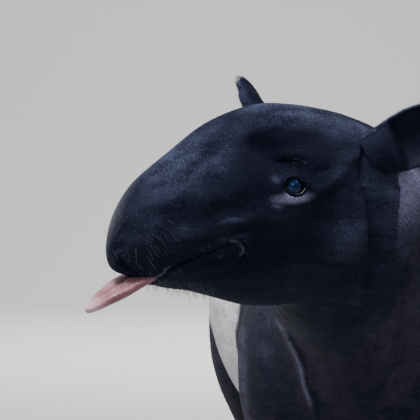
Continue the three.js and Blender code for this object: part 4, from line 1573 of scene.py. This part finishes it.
# %% [markdown]
# ## Hooves
# A front foot has four toes and a hind foot three, each with a small rounded hoof of dark horn. A
# hoof is a tube of four stations, from the flat of its sole up to the hair, with fine growth rings.

# %% Hoof horn
HORN_COLOURS = [(0.020, 0.016, 0.014, 1), (0.085, 0.066, 0.052, 1)]
WORN_HORN = (0.16, 0.135, 0.11, 1)


def make_hoof_material():
    """Dark horn with growth rings by height, worn paler and duller at the sole."""
    material, tree, shader = new_material("hoof_horn")
    place = object_place(tree)
    height = node(tree, "SeparateXYZ", None, Vector=place).outputs["Z"]
    grain = noise(tree, place, 300.0, 3.0, 0.6)
    ring = math_node(tree, "SINE", math_node(tree, "MULTIPLY", height, 1900.0))
    ring = math_node(tree, "ADD", math_node(tree, "MULTIPLY", ring, 0.25), grain)
    colour = mixed(tree, ranged(tree, ring, 0.2, 0.9), *HORN_COLOURS)
    colour = mixed(tree, ranged(tree, height, 0.012, 0.0), colour, WORN_HORN)
    feed(tree, shader.inputs["Base Color"], colour)
    feed(tree, shader.inputs["Roughness"], ranged(tree, height, 0.0, 0.02, 0.7, 0.42))
    bumped(tree, shader, ring, 0.0008, 0.5)
    return material


HOOF_MATERIAL = make_hoof_material()
# Share of the height, then half width, front and back as shares of the toe's half width
HOOF_SHAPE = [(0, 0.96, 1.1, 0.72), (0.06, 1, 1.15, 0.75), (0.5, 0.98, 1.1, 0.7), (1, 0.74, 0.72, 0.5)]


def hoof(leg, toe, number):
    """A leaning tube: full width at the sole, three quarters of it at the hair."""
    forward, outward, half, height = toe
    stations = []
    for share, width, front, back in HOOF_SHAPE:
        stations.append([
            share * height, leg["track"] + outward, forward - 0.3 * share * height,
            width * half, front * half, back * half, 0.8, 0.9,
        ])
    points, faces = tube_mesh(station_rings(leg["part"], stations, 5, 32))
    name = leg["name"] + "_" + str(number)
    new_piece("horn_" + name, points, faces, HOOF_MATERIAL, ["hoof_" + name])


for leg in LEGS:
    for number, toe in enumerate(leg["toes"], 1):
        hoof(leg, toe, number)
print("hooves", sum(len(leg["toes"]) for leg in LEGS))

# %% [markdown]
# ## The short coat
# The fur is only a few millimetres long and lies flat, but it breaks every outline and catches the
# light in fine points. It is made as real mesh, because hair systems don't survive an export: each
# tuft is a bent, three-sided blade with one tip and ten triangles. All of them are worked out
# together as arrays: a root on the skin, the lie of the coat there, a length and a width.

# %% Lie, length and density of the coat
COAT_SEED = 11


def lie_of(points):
    """The way the hair lies: back along the head, down and back on the trunk, down the legs."""
    head, neck, leg = zones(points)
    rest = np.clip(1 - head - neck - leg, 0, 1)
    ways = (
        rest[:, None] * unit([-1, 0, -0.42])
        + neck[:, None] * unit(-NECK[1][0] + np.array([0, 0, -0.55]))
        + head[:, None] * unit(-HEAD[1][0] - 0.22 * HEAD[1][2])
        + leg[:, None] * unit([-0.25, 0, -1])
    )
    return unit(ways + 1e-6)


def coat_size(points):
    """Length and width of a tuft in millimetres, and tufts for each square millimetre."""
    head, neck, leg = zones(points)
    along = seen(HEAD, points)[:, 0]
    nose = head * ramp(along, 250, 370)
    foot = ramp(-points[:, 2], -150, -60)
    length = 10 - 2.5 * neck - 5.0 * head - 3.0 * leg - 1.2 * nose - 1.5 * foot
    width = 1.15 - 0.3 * neck - 0.6 * head - 0.25 * leg - 0.1 * nose - 0.15 * foot
    density = 0.025 + 0.012 * neck + 0.085 * head + 0.006 * leg + 0.03 * foot + 0.02 * nose
    return length, width, density


def unwrapped(points):
    """Place on an unwrap of the skin's own shape: round and along the part that a point is on,
    each part in a strip of its own."""
    head, neck, leg = zones(points)
    x, y, z = points.T
    head_place, neck_place = seen(HEAD, points), seen(NECK, points)
    hind = x < -400
    strips = [
        (0.00, 0.36, y, z - 690, (x + 1110) / 1400),
        (0.37, 0.68, head_place[:, 1], head_place[:, 2] + 50, (head_place[:, 0] + 100) / 490),
        (0.69, 0.80, neck_place[:, 1], neck_place[:, 2], (neck_place[:, 0] + 130) / 720),
        (0.81, 0.90, np.abs(y) - FRONT_TRACK, x, z / 1400 + 0.5 * (y > 0)),
        (0.91, 1.00, np.abs(y) - HIND_TRACK, x - HIND_LINE, z / 1400 + 0.5 * (y > 0)),
    ]
    part = np.where(leg > 0.5, np.where(hind, 4, 3), np.where(head > 0.5, 1, np.where(neck > 0.5, 2, 0)))
    place = np.zeros((len(points), 2))
    for number, (start, end, one, two, along) in enumerate(strips):
        turn = np.arctan2(one, two) / (2 * np.pi) + 0.5
        here = part == number
        place[here, 0] = (start + (end - start - 0.004) * turn + 0.002)[here]
        place[here, 1] = np.clip(along, 0.002, 0.998)[here]
    return place


def strewn(points, faces, seed, density=None):
    """Random roots on a mesh: triangles drawn by area times density, then a place inside each.
    Returns the corners of each root's triangle and their weights."""
    triangles = faces if faces.shape[1] == 3 else np.concatenate([faces[:, :3], faces[:, [0, 2, 3]]])
    a, b, c = (points[triangles[:, k]] for k in range(3))
    area = np.linalg.norm(np.cross(b - a, c - a), axis=1) / 2
    share = area * (coat_size((a + b + c) / 3)[2] if density is None else density)
    draw = np.random.default_rng(seed)
    picked = draw.choice(len(share), size=int(share.sum()), p=share / share.sum())
    one, two = draw.random((2, len(picked)))
    fold = one + two > 1
    one, two = np.where(fold, 1 - one, one), np.where(fold, 1 - two, two)
    return triangles[picked], np.stack([1 - one - two, one, two], axis=1)


def between(values, corners, weights):
    """Values of the mesh's points, blended at the roots."""
    return (values[corners] * (weights if values.ndim == 1 else weights[..., None])).sum(axis=1)


# %% Strands
PATCH = 0.003


def strands(roots, normals, lie, length, width, lift, curl, steps=2):
    """Each strand is a thin three-sided spike of some steps. It leaves the skin at the lift angle
    and bends back down by the curl, towards the lie, while its width falls to nothing."""
    lie = unit(lie - (lie * normals).sum(axis=1, keepdims=True) * normals)
    half = np.cross(normals, lie) * width[:, None] / 2
    ridge = normals * width[:, None] * 0.3
    place = roots - 0.5 * normals
    rows = []
    for step in range(steps):
        size = 1 - 0.4 * step / steps
        rows += [place - size * half, place + size * half, place + size * ridge]
        angle = (lift - curl * step / (steps - 1))[:, None]
        place = place + (lie * np.cos(angle) + normals * np.sin(angle)) * (length / steps)[:, None]
    rows.append(place)
    return np.stack(rows, axis=1)


def strand_faces(steps):
    """Walls between the three-cornered rings, a tip of three faces and one face at the root."""
    faces = [[0, 2, 1]]
    for step in range(steps):
        for corner in range(3):
            one, two = 3 * step + corner, 3 * step + (corner + 1) % 3
            if step < steps - 1:
                faces += [[one, two, two + 3], [one, two + 3, one + 3]]
            else:
                faces.append([one, two, 3 * steps])
    return np.array(faces)


def coat_piece(name, points, roots, tone, material, more=None):
    """A mesh of strands: (strands, corners, 3) points, with the markings of each strand's root."""
    count, corners = points.shape[:2]
    steps = (corners - 1) // 3
    one_strand = strand_faces(steps)
    faces = (np.arange(count)[:, None, None] * corners + one_strand[None]).reshape(-1, 3)
    low, high = (np.array(corner) / MM - SHIFT for corner in (CAD_LOW, CAD_HIGH))
    flat = np.clip(points.reshape(-1, 3), low + 0.05, high - 0.05)
    a, b, c = (flat[faces[:, k]] - np.repeat(roots, len(one_strand), axis=0) for k in range(3))
    if (a * np.cross(b, c)).sum() < 0:
        faces = faces[:, ::-1]
    piece = new_piece(name, flat, faces, material)
    tip = np.minimum(np.arange(corners) // 3, steps) / steps
    across = np.append(np.tile([-0.5, 0.5, 0.0], steps), 0.0)
    spread = np.stack([across, tip - 0.5], axis=1)
    place = (unwrapped(roots)[:, None, :] + PATCH * spread[None]).reshape(-1, 2)
    layer = piece.data.uv_layers.new(name="OFBake")
    layer.data.foreach_set("uv", place[faces.ravel()].astype(np.float32).ravel())
    marks = markings(roots)
    marks.update(more or {})
    for mark, values in marks.items():
        attribute(piece, mark, np.repeat(values, corners))
    attribute(piece, "tone", np.repeat(tone, corners))
    attribute(piece, "tip", np.tile(tip, count))
    print(name, count, "strands", len(faces), "triangles")


# %% Coat over the skin
corners, weights = strewn(skin_points, skin_faces, COAT_SEED)
roots = between(skin_points, corners, weights)
root_normals = unit(between(normals_of(skin), corners, weights))


def open_skin(points):
    """False in the mouth's groove, the nostrils, on the lids and under the soles."""
    along, side, up = seen(HEAD, points).T
    closed = (from_line(MOUTH_LINE, along, up)[0] < 3.2) & (np.abs(side) < 90) & (along > 195)
    for eye in EYES.values():
        across, rise, out = seen(eye, points).T
        closed |= (np.hypot(across / 25, rise / 20) < 1) & (np.abs(out) < 40)
    for form in nostril_forms:
        closed |= form(points) < 2.5
    return ~(closed | (points[:, 2] < 6))


kept = open_skin(roots)
roots, root_normals = roots[kept], root_normals[kept]
draw = np.random.default_rng(COAT_SEED + 1)
count = len(roots)
length, width, _ = coat_size(roots)
length = length * draw.uniform(0.75, 1.25, count)
width = width * draw.uniform(0.7, 1.3, count)
lift = np.radians(draw.uniform(6, 11, count) + 4 * zones(roots)[0])
curl = np.radians(draw.uniform(6, 12, count))
tone = draw.random(count)
sway = np.stack([wavering(roots, 60, 20 + k) for k in range(3)], axis=1)
lie = unit(lie_of(roots) + 0.13 * draw.normal(size=(count, 3)) + 0.22 * sway)
tufts = strands(roots, root_normals, lie, length, width, lift, curl)

head_share, neck_share, leg_share = zones(roots)
x, y, z = roots.T
along, side, up = seen(HEAD, roots).T
on_legs = leg_share > 0.5
on_head = (head_share > 0.5) & ~on_legs
on_neck = (neck_share > 0.5) & ~on_head & ~on_legs
on_trunk = ~(on_legs | on_head | on_neck)
behind = on_trunk & (x < -480)
fore = on_trunk & (x > -160)
middle = on_trunk & ~fore & ~behind
REGIONS = {
    "head_left": on_head & (side > 0),
    "head_right": on_head & (side <= 0),
    "neck": on_neck,
    "shoulders": fore,
    "flank_left": middle & (y > 0),
    "flank_right": middle & (y <= 0),
    "rump_left": behind & (y > 0),
    "rump_right": behind & (y <= 0),
    "legs_front": on_legs & (x > -400),
    "legs_hind": on_legs & (x <= -400),
}


def make_tuft_material():
    """The coat's colours, streaked tuft by tuft, with a painted glint that lightens them towards the
    tips.
    """
    material, tree, shader = new_material("fur_tufts")
    # Painted glint: the tips are lightened by adding to the share of dust and painted light
    tip = math_node(tree, "MULTIPLY", named(tree, "tip"), 0.45)
    streak = math_node(tree, "ADD", math_node(tree, "MULTIPLY", named(tree, "tone"), 0.5), 0.25)
    colour = placed(
        tree, COAT_COLOUR, Saddle=named(tree, "saddle"), Bare=0.0, Streak=streak,
        Head=named(tree, "head"), Dust=math_node(tree, "ADD", named(tree, "dust"), tip),
    )
    feed(tree, shader.inputs["Base Color"], colour.outputs["Color"])
    feed(tree, shader.inputs["Roughness"], math_node(tree, "ADD", colour.outputs["Roughness"], -0.05))
    settle(shader, {"Specular IOR Level": 0.12, "Specular Tint": SPECULAR_TINT})
    return material


TUFT_MATERIAL = make_tuft_material()
for region_name, here in REGIONS.items():
    coat_piece("coat_" + region_name, tufts[here], roots[here], tone[here], TUFT_MATERIAL)

# %% [markdown]
# ## Hairs that stand out
# Some hairs are longer than the coat and are drawn against the light: whiskers on the muzzle, lips
# and chin, lashes over the eyes, the brush of the tail, and a thin fringe under the belly. They are
# the same strands with more steps, few enough to be told apart. The ears have short hair of their
# own, longer on the rim.

# %% Places for long hairs
def long_hairs(name, mask, count, seed, way, length, width, lift, pale, steps=5):
    """Strands on some of the coat's roots in a zone, combed along a way in the animal's axes."""
    draw = np.random.default_rng(seed)
    count = min(count, int(mask.sum()))
    picked = draw.choice(np.flatnonzero(mask), size=count, replace=False)
    places, outwards = roots[picked], root_normals[picked]
    lie = unit(np.array(way, float) + 0.35 * draw.normal(size=(count, 3)))
    points = strands(
        places, outwards, lie, draw.uniform(*length, count), draw.uniform(*width, count),
        np.radians(draw.uniform(*lift, count)), np.radians(draw.uniform(10, 45, count)), steps,
    )
    more = {"saddle": np.full(count, pale), "dust": np.full(count, 0.8)}
    coat_piece(name, points, places, draw.random(count), TUFT_MATERIAL, more)


face = head_share > 0.6
beside = np.abs(side)
muzzle = face & (along > 296) & (up < -62) & (beside > 10)
lips = face & (from_line(MOUTH_LINE, along, up)[0] < 15) & (along > 205) & (beside > 20)
chin = face & (along > 225) & (along < 338) & (up < -148 - 0.10 * (300 - along)) & (beside < 42)
brow = face & (np.hypot(along - 150, up - 16) < 24) & (up > 8) & (beside > 60)
nose_front = face & (along > 345) & (up < -40)
back, down = -HEAD[1][0], -HEAD[1][2]
long_hairs("hair_muzzle", muzzle, 64, 41, back + 0.9 * down, (9, 26), (0.25, 0.42), (12, 40), 0.16)
long_hairs("hair_nose", nose_front, 90, 42, 0.4 * back + down, (5, 14), (0.2, 0.34), (20, 60), 0.12)
long_hairs("hair_lips", lips, 50, 43, back + 0.8 * down, (6, 15), (0.2, 0.35), (14, 40), 0.08)
long_hairs("hair_chin", chin, 380, 44, 0.7 * back + down, (8, 24), (0.22, 0.4), (40, 80), 0.12)
long_hairs("hair_brow", brow, 40, 45, back + 0.3 * down, (6, 12), (0.25, 0.4), (15, 40), 0.02)

tail_tip = (x < -1068) & (z < 842) & (z > 740) & (np.abs(y) < 40)
belly = (head_share < 0.1) & (leg_share < 0.2) & (root_normals[:, 2] < -0.75) & (z < 520)
long_hairs("hair_tail", tail_tip, 320, 46, TAIL_DROP, (12, 26), (0.5, 0.9), (8, 26), 0.0)
long_hairs("hair_belly", belly, 700, 47, [-1, 0, -0.4], (9, 16), (0.6, 1.0), (14, 30), 0.55, 3)


# %% Lashes
def lashes(side, seed):
    """Fine dark hairs on the upper lid's margin that hang out over the eye and bend upwards."""
    draw = np.random.default_rng(seed)
    count = 34
    turn = np.radians(draw.uniform(28, 158, count))
    part = EYES[side]
    reach = np.stack([LID_EDGE["across"] * np.cos(turn), LID_EDGE["upper"] * np.sin(turn)], axis=1) * 1.12
    places = put(part, np.column_stack([reach, np.full(count, 16.5)]))
    outwards = unit(0.25 * part[1][1] + part[1][2])
    ways = np.cos(turn)[:, None] * part[1][0] + 0.25 * part[1][1] - 0.8 * HEAD[1][2]
    points = strands(
        places, np.tile(outwards, (count, 1)), unit(ways + 0.15 * draw.normal(size=(count, 3))),
        draw.uniform(6, 10, count), draw.uniform(0.3, 0.45, count),
        np.radians(draw.uniform(35, 60, count)), np.radians(draw.uniform(-25, 5, count)), 5,
    )
    more = {"saddle": np.zeros(count), "dust": np.full(count, 0.1)}
    name = "hair_lashes_" + side
    coat_piece(name, points, places, draw.random(count), TUFT_MATERIAL, more)


lashes("left", 51)
lashes("right", 52)


# %% Ear hair
def ear_hair(side, seed):
    """Short hair over both walls of an ear, longer on its rim and at the closed root."""
    pinna, points, faces, marks = EAR_SKINS[side]
    part = EARS[side]
    corners, weights = strewn(points, faces, seed, 0.16)
    places = between(points, corners, weights)
    outwards = unit(between(normals_of(pinna), corners, weights))
    share, inside, rim = (between(values, corners, weights) for values in marks)
    open_body = flesh(places) > 0.5
    keep = open_body & ((inside < 0.5) | (share < 0.4) | (rim > 0.9) | (np.arange(len(share)) % 4 == 0))
    places, outwards, share, inside, rim = (v[keep] for v in (places, outwards, share, inside, rim))
    draw = np.random.default_rng(seed + 1)
    count = len(places)
    edge = ramp(rim, 0.88, 0.99)
    across = seen(part, places)[:, 1]
    ways = part[1][0] + (0.7 * edge * np.sign(across))[:, None] * part[1][1]
    ways = ways + 0.2 * draw.normal(size=(count, 3))
    hairs = strands(
        places, outwards, unit(ways), (4.2 + 2.6 * edge) * draw.uniform(0.7, 1.3, count),
        draw.uniform(0.4, 0.7, count), np.radians(draw.uniform(8, 20, count) + 14 * edge),
        np.radians(draw.uniform(2, 14, count)),
    )
    marks = ear_marks(share, inside, rim)
    tone = draw.random(count)
    coat_piece("coat_ear_" + side, hairs, places, tone, TUFT_MATERIAL, marks)


ear_hair("left", 61)
ear_hair("right", 63)

# %% [markdown]
# ## Studio
# The floor is a very wide disc that curves up into a wall far away on every side, like the paper
# sweep of a photo studio, so no hard horizon shows. A black coat is drawn by its highlights: the
# key light stands high in front, one light draws the edge from behind on the animal's right, one
# lights the nape from its left, and a weak one in front opens the shade. A large lamp far behind
# the animal keeps the sweep pale.

# %% Floor and sweep
SWEEP = {"flat": 10.0, "bend": 4.0, "rise": 3.0, "turns": 96}


def new_sweep():
    """A profile turned round the upright axis: flat out to a radius, a quarter circle, a wall."""
    bend = np.linspace(0, np.pi / 2, 17)
    flat, size = SWEEP["flat"], SWEEP["bend"]
    reach = np.concatenate([[0.02, 2.0, 5.0, 8.0], flat + size * np.sin(bend), [flat + size + 0.1]])
    height = np.concatenate([[0.0] * 4, size * (1 - np.cos(bend)), [size + SWEEP["rise"]]])
    turn = np.linspace(0, 2 * np.pi, SWEEP["turns"], endpoint=False)[None, :]
    points = np.stack(np.broadcast_arrays(
        reach[:, None] * np.cos(turn), reach[:, None] * np.sin(turn), height[:, None],
    ), axis=-1)
    return new_mesh("floor", points.reshape(-1, 3) / MM - SHIFT, walls_of(*points.shape[:2]))


floor = bpy.data.objects.new("floor", new_sweep())
bpy.context.scene.collection.objects.link(floor)
material, _, shader = new_material("floor")
settle(shader, {
    "Base Color": (0.42, 0.415, 0.41, 1), "Roughness": 0.95, "Specular IOR Level": 0.1,
})
floor.data.materials.append(material)


# %% Light
# Place from the head, size, power, colour
LIGHTS = {
    "key": ([1.5, -0.9, 2.8], 1.3, 240, (1, 1, 1)),
    "edge": ([-2.2, -2.6, 1.0], 1.2, 75, (0.94, 0.92, 1.0)),
    "fill": ([3.2, 0.8, 1.05], 1.1, 22, (0.82, 0.92, 1.0)),
    "nape": ([0.2, 2.4, 2.4], 1.4, 40, (0.98, 0.92, 1.0)),
}


def new_light(name, place, target, size, power, colour=(1, 1, 1)):
    """A round soft light that looks at a target."""
    data = bpy.data.lights.new(name, "AREA")
    data.shape = "DISK"
    data.size = size
    data.energy = power
    data.color = colour
    light = bpy.data.objects.new(name, data)
    bpy.context.scene.collection.objects.link(light)
    light.location = Vector(place)
    light.rotation_euler = (Vector(target) - Vector(place)).to_track_quat("-Z", "Y").to_euler()


world = bpy.data.worlds.new("studio")
bpy.context.scene.world = world
world.use_nodes = True
settle(world.node_tree.nodes["Background"], {"Color": (0.86, 0.92, 1.0, 1), "Strength": 0.42})
focus = to_frame(put(HEAD, [150, 60, -30]))
for name, (away, size, power, colour) in LIGHTS.items():
    new_light(name, focus + np.array(away), focus, size, power, colour)
new_light("sweep", [-5.0, 0.0, 5.5], [-11.0, 0.0, 0.5], 5.0, 1500)
